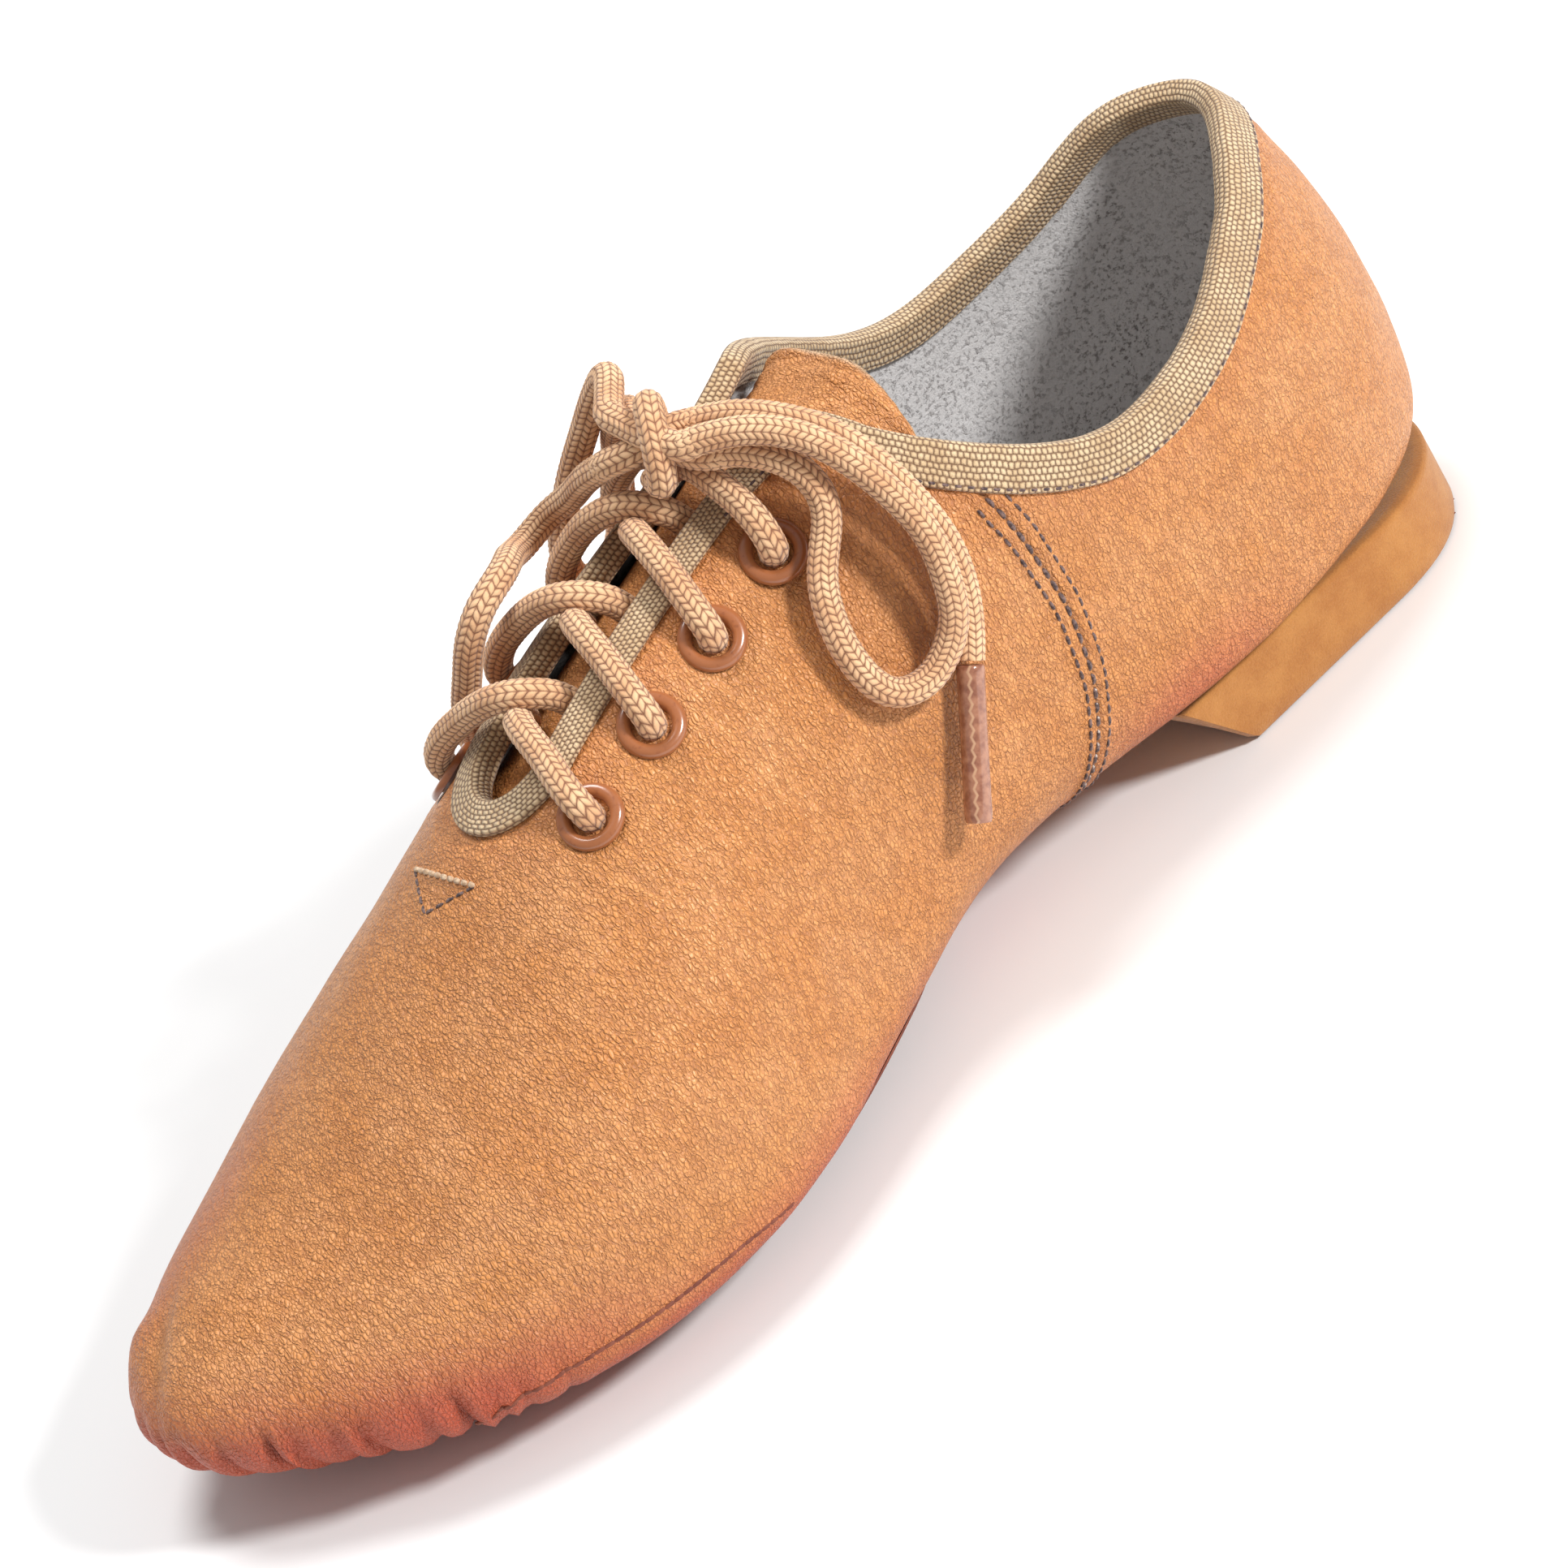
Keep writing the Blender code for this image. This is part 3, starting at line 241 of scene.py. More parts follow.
class Last:
    """The form that the shoe is made on. Its surface is a ring of half sections, each a vertical plane from
    the middle line out to the rim. A half section's angle is -90 degrees under the foot, 0 at the rim and
    +90 on the ridge."""

    def __init__(self):
        along = column(RIM, RIM_COLUMNS, "along") * LENGTH
        across = column(RIM, RIM_COLUMNS, "across") * BALL_WIDTH / 2
        rise = column(RIM, RIM_COLUMNS, "rise") * INSTEP_HEIGHT
        squareness = [column(RIM, RIM_COLUMNS, name) for name in ("under", "over")]
        outline = np.column_stack([along, across])
        steps = np.linalg.norm(np.roll(outline, -1, axis=0) - outline, axis=1)
        knots = np.concatenate([[0], np.cumsum(steps)])
        self.girth = knots[-1]
        shape = np.column_stack([along, across, rise, *squareness])
        self.rim = spline(knots[:-1], shape, period=self.girth)
        spine_along = column(SPINE, SPINE_COLUMNS, "along") * LENGTH
        centre = column(SPINE, SPINE_COLUMNS, "centre") * BALL_WIDTH / 2
        front_level = SOLE_THICKNESS + CLEARANCE
        heel_level = HEEL_HEIGHT + CLEARANCE
        keel = front_level + column(SPINE, SPINE_COLUMNS, "lift") * (heel_level - front_level)
        ridge = column(SPINE, SPINE_COLUMNS, "ridge") * INSTEP_HEIGHT
        self.spine = spline(spine_along, np.column_stack([centre, keel, ridge]), flat_start=True)
        self.first = spine_along[0]
        self.last = spine_along[-1]
        step = 0.5 * MM
        self.toe_slope = float((self.spine(self.last) - self.spine(self.last - step))[2] / step)
        heights = [column(COLLAR, COLLAR_COLUMNS, side) * BACK_HEIGHT for side in ("left", "right")]
        self.collar = spline(column(COLLAR, COLLAR_COLUMNS, "along") * LENGTH, np.column_stack(heights))
        self.collar_end = COLLAR["over the ridge"][0] * LENGTH
        places = np.linspace(0, self.girth, 4001)
        reach = self.rim(places)[:, 0]
        self.tip = places[np.argmax(reach)] % self.girth
        self.back = places[np.argmin(reach)]
        self.longest = reach.max()
        self.shortest = reach.min()
        self.sides = []
        tip_left = self.tip if self.tip < self.back else self.tip - self.girth
        for start, end in ((tip_left, self.back), (tip_left + self.girth, self.back)):
            walk = np.linspace(start, end, 2001)
            self.sides.append((walk, self.rim(walk)[:, 0]))

    def place(self, side, along):
        """The rim position on a side (0 is left, 1 is right) at a distance along the shoe."""
        walk, reach = self.sides[side]
        return np.interp(along, reach[::-1], walk[::-1])

    def half_section(self, place):
        """Everything that a half section is drawn from."""
        along, across, rise, under, over = np.moveaxis(self.rim(place), -1, 0)
        anchor = np.clip(along, self.first, self.last)
        centre, keel, ridge = np.moveaxis(self.spine(anchor), -1, 0)
        reach = np.stack([along - anchor, across - centre], -1)
        radius = np.linalg.norm(reach, axis=-1)
        toward = reach / radius[..., None]
        return anchor, centre, toward, radius, rise, keel, ridge, under, over

    def point(self, place, angle):
        """A point of the last's surface, as (along, across, height)."""
        anchor, centre, toward, radius, rise, keel, ridge, under, over = self.half_section(place)
        along_rim = self.rim(place)[..., 0]
        sine = np.sin(angle)
        square = np.where(sine < 0, under, over)
        out = np.clip(np.cos(angle), 0, None) ** (2 / square)
        up = np.abs(sine) ** (2 / square)
        forward = np.clip(along_rim - anchor, 0, None) * out
        drop = self.toe_slope * TOE_FADE * np.tanh(forward / TOE_FADE)
        height = np.where(sine < 0, rise - (rise - keel) * up, rise + (ridge + drop - rise) * up)
        spread = radius * out
        return np.stack([anchor + toward[..., 0] * spread, centre + toward[..., 1] * spread, height], -1)

    def edge_angle(self, place):
        """The angle where the upper ends: at its collar, at the throat's edge or on the ridge."""
        along = self.rim(place)[..., 0]
        _, _, toward, radius, rise, _, ridge, _, over = self.half_section(place)
        inside = np.clip((THROAT_BOTTOM - along) / THROAT_ROUND, 0, 1)
        opened = np.clip((THROAT_TOP + 3 * THROAT_ROUND - along) / (3 * THROAT_ROUND), 0, 1)
        gap = THROAT_HALF_GAP * np.sqrt(1 - (1 - inside) ** 2) + THROAT_FLARE * opened**2
        throat = np.arccos(np.clip(gap / radius, 0, 1) ** (over / 2))
        left, right = np.moveaxis(self.collar(np.clip(along, 0, self.collar_end)), -1, 0)
        level = np.where(toward[..., 1] < 0, left, right)
        share = np.clip((level - rise) / (ridge - rise), 0, 1.3)
        below = np.arcsin(np.clip(share, 0, 1) ** (over / 2))
        collar = np.where(share < 1, below, math.pi / 2 + share - 1)
        soft = -CORNER_ROUND * np.logaddexp(-throat / CORNER_ROUND, -collar / CORNER_ROUND)
        blend = np.clip((along - THROAT_TOP) / (2 * THROAT_ROUND), 0, 1)
        edge = soft * (1 - blend) + throat * blend
        low = np.clip((THROAT_TOP - 3 * THROAT_ROUND - along) / THROAT_ROUND, 0, 1)
        return np.where(along > THROAT_BOTTOM, math.pi / 2, edge * (1 - low) + collar * low)


last = Last()
print("girth of the rim in mm:", round(last.girth / MM, 1))

# %% [markdown]
# ## Helpers for meshes
#
# Most pieces are grids of points worked out with NumPy, turned into quads. That is quicker than modelling by
# hand and can be redone when a size changes. Masks and coordinates that a material needs are stored on the mesh
# as attributes while it is made, because that is where they are known best.

# %% Points, grids and masks

HEEL_MIDDLE = (HEEL_BACK + HEEL_FRONT - HEEL_BREAST_SLOPE) / 2


def to_frame(points):
    """(along, across, height) to the shoe's own frame, whose origin is under the middle of the heel."""
    points = np.asarray(points, float).copy()
    points[..., 0] = HEEL_MIDDLE - points[..., 0]
    return points


def smooth_step(low, high, value):
    """A soft change from 0 at low to 1 at high."""
    share = np.clip((value - low) / (high - low), 0, 1)
    return share * share * (3 - 2 * share)


def grid_faces(rows, columns, close_rows=False, close_columns=False):
    """Quads of a grid whose point (i, j) has the index i * columns + j."""
    i = np.arange(rows if close_rows else rows - 1)[:, None]
    j = np.arange(columns if close_columns else columns - 1)[None, :]
    k, m = (i + 1) % rows, (j + 1) % columns
    corners = [i * columns + j, i * columns + m, k * columns + m, k * columns + j]
    return np.stack([np.broadcast_to(c, (i.size, j.size)) for c in corners], -1).reshape(-1, 4)


def make_piece(name, points, faces, material, nodes=(), masks=None, uv=None, weld=0.0):
    """A smooth mesh piece that rides on the shoe. masks are point attributes, uv is one pair per face corner."""
    mesh = bpy.data.meshes.new(name)
    points = np.asarray(points, float).reshape(-1, 3)
    mesh.from_pydata(points.tolist(), [], [list(map(int, face)) for face in faces])
    for key, values in (masks or {}).items():
        layer = mesh.attributes.new(key, "FLOAT", "POINT")
        layer.data.foreach_set("value", np.asarray(values, float).ravel())
    if uv is not None:
        layer = mesh.uv_layers.new(name="pattern")
        layer.data.foreach_set("uv", np.asarray(uv, float).ravel())
    work = bmesh.new()
    work.from_mesh(mesh)
    if weld:
        bmesh.ops.remove_doubles(work, verts=work.verts, dist=weld)
    bmesh.ops.recalc_face_normals(work, faces=work.faces)
    work.to_mesh(mesh)
    work.free()
    mesh.shade_smooth()
    mesh.set_sharp_from_angle(angle=math.radians(55))
    mesh.materials.append(material)
    piece = bpy.data.objects.new(name, mesh)
    bpy.context.scene.collection.objects.link(piece)
    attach(piece, "root")
    if nodes:
        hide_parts(*nodes)
    return piece


print("helpers ready")

# %% [markdown]
# ## Writing materials as sums
#
# A material is a graph of nodes, and a long graph is hard to read. Here one small class wraps a node's output,
# so that `1 - mask * 0.5` adds the Math nodes by itself. Colours and vectors go through Mix and Vector Math
# nodes, since a Math node would turn a colour grey.

# %% A wrapped socket and a finish


def operator(operation, swapped=False):
    """A method for one of Python's operators, which adds one node."""

    def method(self, other):
        pair = (other, self) if swapped else (self, other)
        return self.combine(operation, *pair)

    return method


class Wire:
    """One output socket of a finish's nodes, on which Python's operators add more nodes."""

    def __init__(self, finish, socket):
        self.finish = finish
        self.socket = socket

    def combine(self, operation, first, second):
        """One node of the kind that suits the two values: colours are mixed, vectors and numbers reckoned."""
        kinds = [v.socket.type for v in (first, second) if isinstance(v, Wire)]
        if "RGBA" in kinds:
            sockets = {0: 1.0, 6: first, 7: second}
            return self.finish.node("Mix", {"data_type": "RGBA", "blend_type": operation}, sockets, 2)
        if "VECTOR" in kinds:
            if operation == "MULTIPLY" and isinstance(second, (int, float)):
                return self.finish.node("VectorMath", {"operation": "SCALE"}, {0: first, 3: second})
            return self.finish.node("VectorMath", {"operation": operation}, {0: first, 1: second})
        return self.finish.node("Math", {"operation": operation}, {0: first, 1: second})

    __add__ = __radd__ = operator("ADD")
    __sub__, __rsub__ = operator("SUBTRACT"), operator("SUBTRACT", swapped=True)
    __mul__ = __rmul__ = operator("MULTIPLY")
    __truediv__, __pow__ = operator("DIVIDE"), operator("POWER")

    def __abs__(self):
        return self.maths("ABSOLUTE")

    def maths(self, operation, *others):
        """Any other Math operation on this value."""
        return self.finish.node("Math", {"operation": operation}, dict(enumerate((self, *others))))

    def between(self, low, high):
        """A soft change from 0 at low to 1 at high."""
        return self.finish.node("MapRange", {"interpolation_type": "SMOOTHSTEP"}, {0: self, 1: low, 2: high})

    def blend(self, first, second):
        """The first colour where this value is 0, the second where it is 1."""
        return self.finish.node("Mix", {"data_type": "RGBA"}, {0: self, 6: first, 7: second}, 2)


class Finish:
    """A material, and the one method that adds nodes to it."""

    def __init__(self, name, **constants):
        self.material = bpy.data.materials.new(name)
        self.material.use_nodes = True
        self.nodes = self.material.node_tree.nodes
        self.links = self.material.node_tree.links
        self.shader = self.nodes["Principled BSDF"]
        for key, value in constants.items():
            self.set(key.replace("_", " "), value)

    def plug(self, socket, value):
        """Link a wire to a socket, or type a constant into it."""
        if isinstance(value, Wire):
            self.links.new(value.socket, socket)
        elif socket.type == "RGBA" and len(value) == 3:
            socket.default_value = (*value, 1)
        elif socket.type == "VECTOR" and isinstance(value, (int, float)):
            socket.default_value = (value,) * 3
        else:
            socket.default_value = value

    def set(self, key, value):
        """Put a constant or a wire on a socket of the surface shader."""
        self.plug(self.shader.inputs[key], value)

    def node(self, kind, settings, sockets, output=0):
        """Add a node, with its settings and what goes into its sockets, and wrap one of its outputs."""
        made = self.nodes.new("ShaderNode" + kind)
        for key, value in settings.items():
            setattr(made, key, value)
        for key, value in sockets.items():
            self.plug(made.inputs[key], value)
        return Wire(self, made.outputs[output])

    def place(self):
        """Where a point lies on the shoe, in millimetres."""
        return self.node("TexCoord", {}, {}, "Object") * 1000.0

    def mask(self, name):
        """A number that was stored at the mesh's points."""
        return self.node("Attribute", {"attribute_name": name}, {}, "Fac")

    def pattern(self):
        """The two numbers that are stored on the mesh as its pattern map."""
        where = self.node("UVMap", {"uv_map": "pattern"}, {})
        return [self.node("SeparateXYZ", {}, {0: where}, k) for k in (0, 1)]

    def noise(self, where, size, detail=2.0, roughness=0.5):
        """Soft noise from 0 to 1 with blobs of that size in millimetres."""
        sockets = {"Vector": where, "Scale": 1 / size, "Detail": detail, "Roughness": roughness}
        return self.node("TexNoise", {}, sockets)

    def cells(self, where, size, feature="F1", output="Distance"):
        """Distance in a field of cells of that size in millimetres."""
        return self.node("TexVoronoi", {"feature": feature}, {"Vector": where, "Scale": 1 / size}, output)

    def raise_surface(self, height, depth):
        """Bump from a height between 0 and 1, that many millimetres deep."""
        bump = self.node("Bump", {}, {"Strength": 1.0, "Distance": depth * MM, "Height": height})
        self.set("Normal", bump)


print("material helpers ready")

# %% [markdown]
# ## The lace's braid
#
# A round lace is braided from many strands over a core, and each strand shows as a short slanted bump. The bumps
# lie in columns that slant left and right by turns, like a plait. A picture of a braid could be wrapped round the
# cord. Here one formula gives the height of the bumps, and it is used twice: once for the mesh itself, so that
# the cord's outline is knobbly, and once as nodes for the fine threads and for painted shade in the gaps.

# %% The finish of the lace
BRAID_COLUMNS = 12
BRAID_PITCH = 1.12
BRAID_SLANT = 0.62
BRAID_DEPTH = 0.20 * MM
BRAID_ROUND = (0.6, 0.4)


def lace_finish():
    finish = Finish("braided_cotton", Roughness=0.85, Sheen_Weight=0.25, Sheen_Roughness=0.5)
    around, along = finish.pattern()
    column_place = around * BRAID_COLUMNS
    share = column_place.maths("FRACT")
    leaning = (column_place * 0.5).maths("FRACT").maths("GREATER_THAN", 0.5) * 2.0 - 1.0
    strand = (along / BRAID_PITCH + leaning * (share - 0.5) * BRAID_SLANT).maths("FRACT")
    bump = (strand * math.pi).maths("SINE") ** BRAID_ROUND[0] * (share * math.pi).maths("SINE") ** BRAID_ROUND[1]
    where = finish.place()
    thread = finish.noise(where, 0.16, 1.0)
    uneven = finish.noise(where, 5.0)
    # Between the strands the colour goes dark: this is painted shade in the gaps of the braid.
    lit = (bump * 1.1 - 0.25 + thread * 0.5 - 0.2).between(-0.1, 0.75)
    light = uneven.between(0.3, 0.7).blend((0.70, 0.385, 0.195), (0.85, 0.545, 0.31))
    finish.set("Base Color", lit.blend((0.26, 0.105, 0.050), light))
    finish.raise_surface(bump * 0.8 + thread * 0.3, 0.18)
    return finish.material


braided_cotton = lace_finish()

# %% [markdown]
# ## The lace: two bows of cord, three crossings and a knot
#
# One lace runs through all the eyelets and ends in a bow. The two loops and the two ends lie free, each with its
# own length. A curve with a round bevel would do for a smooth cable. A braided cord needs its bumps, so each is a
# tube of mesh through the same route as its CAD solid.

# %% Routes
BOW = {
    "lace_loop_right": (
        (118.6, 3.6, 94.9), (115.8, 6.9, 95.0), (112.9, 10.2, 95.4), (111.8, 13.4, 94.4),
        (112.9, 17.0, 91.0), (114.9, 20.4, 86.4), (117.3, 23.4, 81.8), (120.0, 26.2, 76.6),
        (122.0, 29.6, 70.4), (122.0, 33.0, 64.0), (119.2, 35.0, 59.0), (115.0, 34.8, 58.8),
        (111.8, 32.6, 63.4), (110.6, 29.4, 69.6), (110.6, 25.6, 75.8), (111.4, 20.4, 82.2),
        (112.4, 13.8, 87.8), (113.6, 7.6, 91.0), (115.0, 3.8, 91.4),
    ),
    "lace_end_right": (
        (122.6, 2.6, 89.6), (123.8, 9.0, 86.6), (124.3, 15.4, 82.5), (127.0, 20.8, 79.4),
        (131.6, 21.0, 78.5), (136.4, 17.0, 80.6), (141.0, 12.0, 82.3), (146.6, 10.6, 81.3),
        (149.9, 12.0, 77.8), (151.5, 15.0, 72.5), (152.4, 19.0, 66.6), (151.6, 24.2, 60.6),
        (150.2, 29.4, 55.2),
    ),
    "lace_loop_left": (
        (118.0, -10.6, 91.6), (115.6, -13.4, 91.7), (111.5, -18.6, 90.9), (107.7, -23.7, 87.6),
        (105.3, -28.0, 82.4), (103.9, -31.2, 76.6), (103.3, -34.0, 69.7), (104.3, -35.1, 63.1),
        (106.1, -35.2, 57.4), (109.1, -34.2, 53.4), (113.2, -33.2, 51.3), (118.0, -32.0, 52.7),
        (120.0, -30.0, 58.0), (119.0, -27.4, 64.5), (116.0, -25.3, 70.1), (112.3, -24.3, 73.8),
        (109.8, -23.8, 77.4), (109.1, -21.5, 82.1), (111.1, -17.5, 86.1), (113.6, -13.4, 87.7),
        (115.2, -11.4, 88.0),
    ),
    "lace_end_left": (
        (112.4, -4.9, 90.2), (108.9, -11.0, 90.1), (105.5, -17.2, 87.9), (103.0, -21.7, 84.5),
        (101.2, -25.6, 79.3), (100.0, -29.1, 71.9), (99.9, -31.6, 64.5), (101.5, -32.9, 58.1),
        (103.9, -33.6, 53.2), (106.5, -34.2, 49.6),
    ),
}
AGLETS = {
    "aglet_left": ((106.8, -34.3, 49.1), (118.0, -37.4, 32.3)),
    "aglet_right": ((150.1, 29.7, 54.8), (147.0, 37.6, 35.2)),
}


def smooth_route(points, spacing):
    """Points read at even steps from a smooth curve through given points."""
    points = np.asarray(points, float)
    steps = np.linalg.norm(np.diff(points, axis=0), axis=1)
    knots = np.concatenate([[0], np.cumsum(steps)])
    count = max(3, int(round(knots[-1] / spacing)) + 1)
    return spline(knots, points)(np.linspace(0, knots[-1], count))


def route_length(route):
    return float(np.linalg.norm(np.diff(route, axis=0), axis=1).sum())


# %% A braided tube

BRAID_STEP = 0.32 * MM
BRAID_SIDES = 40


def braid_height(around, along):
    """Height from 0 to 1 of the braid's bumps. around is a share of a turn, along is in millimetres."""
    column_place = around * BRAID_COLUMNS
    share = column_place % 1
    leaning = np.where((column_place // 1) % 2 > 0.5, 1.0, -1.0)
    strand = (along / BRAID_PITCH + leaning * (share - 0.5) * BRAID_SLANT) % 1
    return np.sin(math.pi * strand) ** BRAID_ROUND[0] * np.sin(math.pi * share) ** BRAID_ROUND[1]


def tube_mesh(route, radius, sides, relief=None):
    """Points, faces and pattern map of a tube along a route. relief sinks its surface between the strands."""
    sections = []
    ahead = np.gradient(route, axis=0)
    side = Vector((0, 1, 0)).cross(Vector(ahead[0])).normalized()
    turn = np.arange(sides) / sides
    distance = np.concatenate([[0], np.cumsum(np.linalg.norm(np.diff(route, axis=0), axis=1))])
    for k, point in enumerate(route):
        tangent = Vector(ahead[k]).normalized()
        side = (side - tangent * side.dot(tangent)).normalized()
        up = np.array(tangent.cross(side))
        size = np.full(sides, radius)
        if relief:
            size = size - relief * (1 - braid_height(turn + 0.5 / sides, distance[k] / MM))
        ring = np.outer(np.cos(2 * math.pi * turn) * size, side) + np.outer(np.sin(2 * math.pi * turn) * size, up)
        sections.append(point + ring)
    count = len(sections)
    faces = [list(face) for face in grid_faces(count, sides, close_columns=True)]
    across = np.array([[0, 1, 1, 0]]) / sides + (np.arange(sides) / sides)[:, None]
    uv = np.zeros((count - 1, sides, 4, 2))
    uv[..., 0] = across[None]
    lengthwise = distance / MM
    uv[..., 1] = np.stack([lengthwise[:-1], lengthwise[:-1], lengthwise[1:], lengthwise[1:]], -1)[:, None, :]
    uv = uv.reshape(-1, 2)
    faces.append(list(range(sides))[::-1])
    faces.append([(count - 1) * sides + k for k in range(sides)])
    uv = np.vstack([uv, np.tile([0.5, lengthwise[0]], (sides, 1)), np.tile([0.5, lengthwise[-1]], (sides, 1))])
    return np.array(sections).reshape(-1, 3), faces, uv


def braided_tube(name, routes, nodes):
    """One piece of braided lace made of one or more runs."""
    points, faces, uv, start = [], [], [], 0
    for route in routes:
        more = tube_mesh(route, LACE / 2, BRAID_SIDES, BRAID_DEPTH)
        points.append(more[0])
        faces += [[start + corner for corner in face] for face in more[1]]
        uv.append(more[2])
        start += len(more[0])
    return make_piece(name, np.vstack(points), faces, braided_cotton, nodes, uv=np.vstack(uv))


cord_routes = {name: smooth_route(to_frame(np.array(points) * MM), BRAID_STEP) for name, points in BOW.items()}
cord_pieces = {name: braided_tube(name + "_braid", [route], [name]) for name, route in cord_routes.items()}
for name, route in cord_routes.items():
    print(name, "is", round(route_length(route) / MM, 1), "mm long")

# %% [markdown]
# ## The tips of the lace
#
# An aglet is a strip of clear brown plastic, rolled round the end of the lace and glued, so the braid shows
# through it as a faint zigzag. It could be glass over a second braid. A glossy surface with the zigzag in its
# colour looks the same at this size and renders much faster.

# %% Aglets
AGLET_SIDES = 32
AGLET_PROFILE = (
    (0.0, 0.90), (0.25, 1.02), (0.9, 1.03), (2.0, 1.0), (6.0, 0.99), (10.0, 0.985), (14.0, 0.98), (18.0, 0.985),
    (20.6, 0.99), (21.5, 0.96), (21.9, 0.9), (22.0, 0.72),
)


def aglet_finish():
    finish = Finish("clear_brown_plastic", Roughness=0.22, IOR=1.5, Coat_Roughness=0.08)
    around, along = finish.pattern()
    wiggle = (along / 0.9).maths("PINGPONG", 1.0) * 0.14 + 0.43
    zigzag = 1.0 - abs((around * 4.0).maths("FRACT") - wiggle).between(0.02, 0.10)
    cloudy = finish.noise(finish.place(), 1.2)
    colour = cloudy.between(0.3, 0.7).blend((0.25, 0.090, 0.052), (0.42, 0.190, 0.110))
    finish.set("Base Color", (zigzag * 0.8).blend(colour, (0.62, 0.37, 0.22)))
    finish.set("Coat Weight", 0.8)
    finish.raise_surface(cloudy, 0.08)
    return finish.material


clear_brown_plastic = aglet_finish()
depths, sizes = np.array(AGLET_PROFILE).T
for name, ends in AGLETS.items():
    start, end = (Vector(to_frame(np.array(point) * MM)) for point in ends)
    along = (end - start).normalized()
    route = np.array([start + along * float(depth) * MM for depth in depths])
    points, faces, uv = tube_mesh(route, AGLET / 2, AGLET_SIDES)
    rings = points.reshape(len(route), -1, 3)
    rings[:] = route[:, None] + (rings - route[:, None]) * sizes[:, None, None]
    make_piece(
        name + "_plastic", rings, faces, clear_brown_plastic, [name], uv=uv)

for name, tip in (("lace_loop_left", None), ("lace_loop_right", None), ("lace_end_left", "aglet_left"),
                  ("lace_end_right", "aglet_right")):
    route = cord_routes[name]
    (route[::4].tolist()
        + [route[-1].tolist()])
print("cords declared:", len(cord_routes))

# %% [markdown]
# ## The last as a surface to seat things on
#
# Eyelets, tape, stitches and the lace all lie on the leather. They could be placed one by one by eye. Instead
# the whole last is kept as a search tree, which answers where its surface is below a point, and which way it
# faces there.

# %% The skin of the last
SKIN_STATIONS = 260
SKIN_ROWS = 40
LEAST_LEVEL = 0.4


def section_angles(place, rows, whole=False):
    """Angles of a half section's points, from under the foot to the edge of the upper."""
    edge = np.full(np.shape(place), math.pi / 2) if whole else last.edge_angle(place)
    share = np.linspace(0, 1, rows)
    return -math.pi / 2 + (edge[..., None] + math.pi / 2) * share


def make_skin():
    turn = (1 - np.cos(np.linspace(0, math.pi, SKIN_STATIONS))) / 2
    along = last.longest - (last.longest - last.shortest) * turn
    halves = []
    for side in (0, 1):
        place = last.place(side, along)
        angles = section_angles(place, SKIN_ROWS, whole=True)
        halves.append(last.point(np.broadcast_to(place[:, None], angles.shape), angles))
    points = to_frame(np.concatenate([halves[0][:, ::-1], halves[1][:, 1:]], axis=1))
    work = bmesh.new()
    verts = [work.verts.new(p) for p in points.reshape(-1, 3)]
    for face in grid_faces(*points.shape[:2]):
        work.faces.new([verts[k] for k in face])
    bmesh.ops.remove_doubles(work, verts=work.verts, dist=0.02 * MM)
    bmesh.ops.recalc_face_normals(work, faces=work.faces)
    tree = BVHTree.FromBMesh(work)
    work.free()
    return tree


skin = make_skin()


def underside(x, y, inside=0.0):
    """Height of the last's underside above the floor, or of a surface that far inside it."""
    spot, normal = skin.ray_cast(Vector((x, y, -INSTEP_HEIGHT)), Vector((0, 0, 1)))[:2]
    if spot is None:
        spot, normal = skin.find_nearest(Vector((x, y, 0)))[:2]
    return spot.z + inside / max(-normal.z, LEAST_LEVEL)


def topside(x, y):
    """Point and outward normal of the last's top."""
    spot, normal = skin.ray_cast(Vector((x, y, 2 * INSTEP_HEIGHT)), Vector((0, 0, -1)))[:2]
    return spot, normal


def seat(point, offset):
    """The point of the last's surface next to a point, moved out along the normal."""
    spot, normal = skin.find_nearest(Vector(point))[:2]
    return spot + normal * offset


def eyelet_place(side, number):
    """Centre and outward normal of an eyelet. Number 0 is the one nearest the toe."""
    along = EYELET_FIRST - EYELET_STEP * number
    across = last.spine(along)[0] + (-1, 1)[side] * EYELET_ACROSS
    x, y = to_frame((along, across, 0))[:2]
    return topside(x, y)


eyelet_places = {(side, number): eyelet_place(side, number) for side in (0, 1) for number in range(EYELET_COUNT)}
print("eyelets at", [[round(v / MM, 1) for v in spot] for spot, _ in eyelet_places.values()])

# %% [markdown]
# ## The crossings and the knot
#
# From each eyelet the lace goes over the flap and dives into the throat. The arcs from the far side pass over
# those from the near side. They could be one long curve, but most of it would be hidden under the flaps, so
# each visible arc is its own run, which dives below the leather at both ends. The knot is one upright turn of
# lace round the cords that meet under it.

# %% Crossings
LACE_UNDER = (
    (0.00, 1.00, -0.95), (0.00, 1.00, -0.15), (0.00, 0.99, 0.42), (0.05, 0.84, 0.82), (0.18, 0.56, 0.92),
    (0.32, 0.22, 0.84), (0.40, 0.02, 0.42), (0.45, -0.14, -0.15), (0.47, -0.22, -0.50),
)
LACE_OVER = (
    (0.00, 1.00, -0.95), (0.00, 1.00, -0.15), (0.00, 0.99, 0.42), (0.05, 0.84, 0.86), (0.22, 0.54, 1.02),
    (0.40, 0.22, 1.14), (0.55, 0.00, 1.02), (0.68, -0.14, 0.45), (0.74, -0.18, -0.10), (0.76, -0.22, -0.50),
)
LACE_TO_KNOT = (
    (0.00, 1.00, -0.95), (0.00, 1.00, -0.10), (0.00, 1.00, 0.62), (0.04, 0.88, 1.08), (0.10, 0.60, 1.12),
    (0.14, 0.30, 1.08), (0.14, 0.00, 0.90),
)


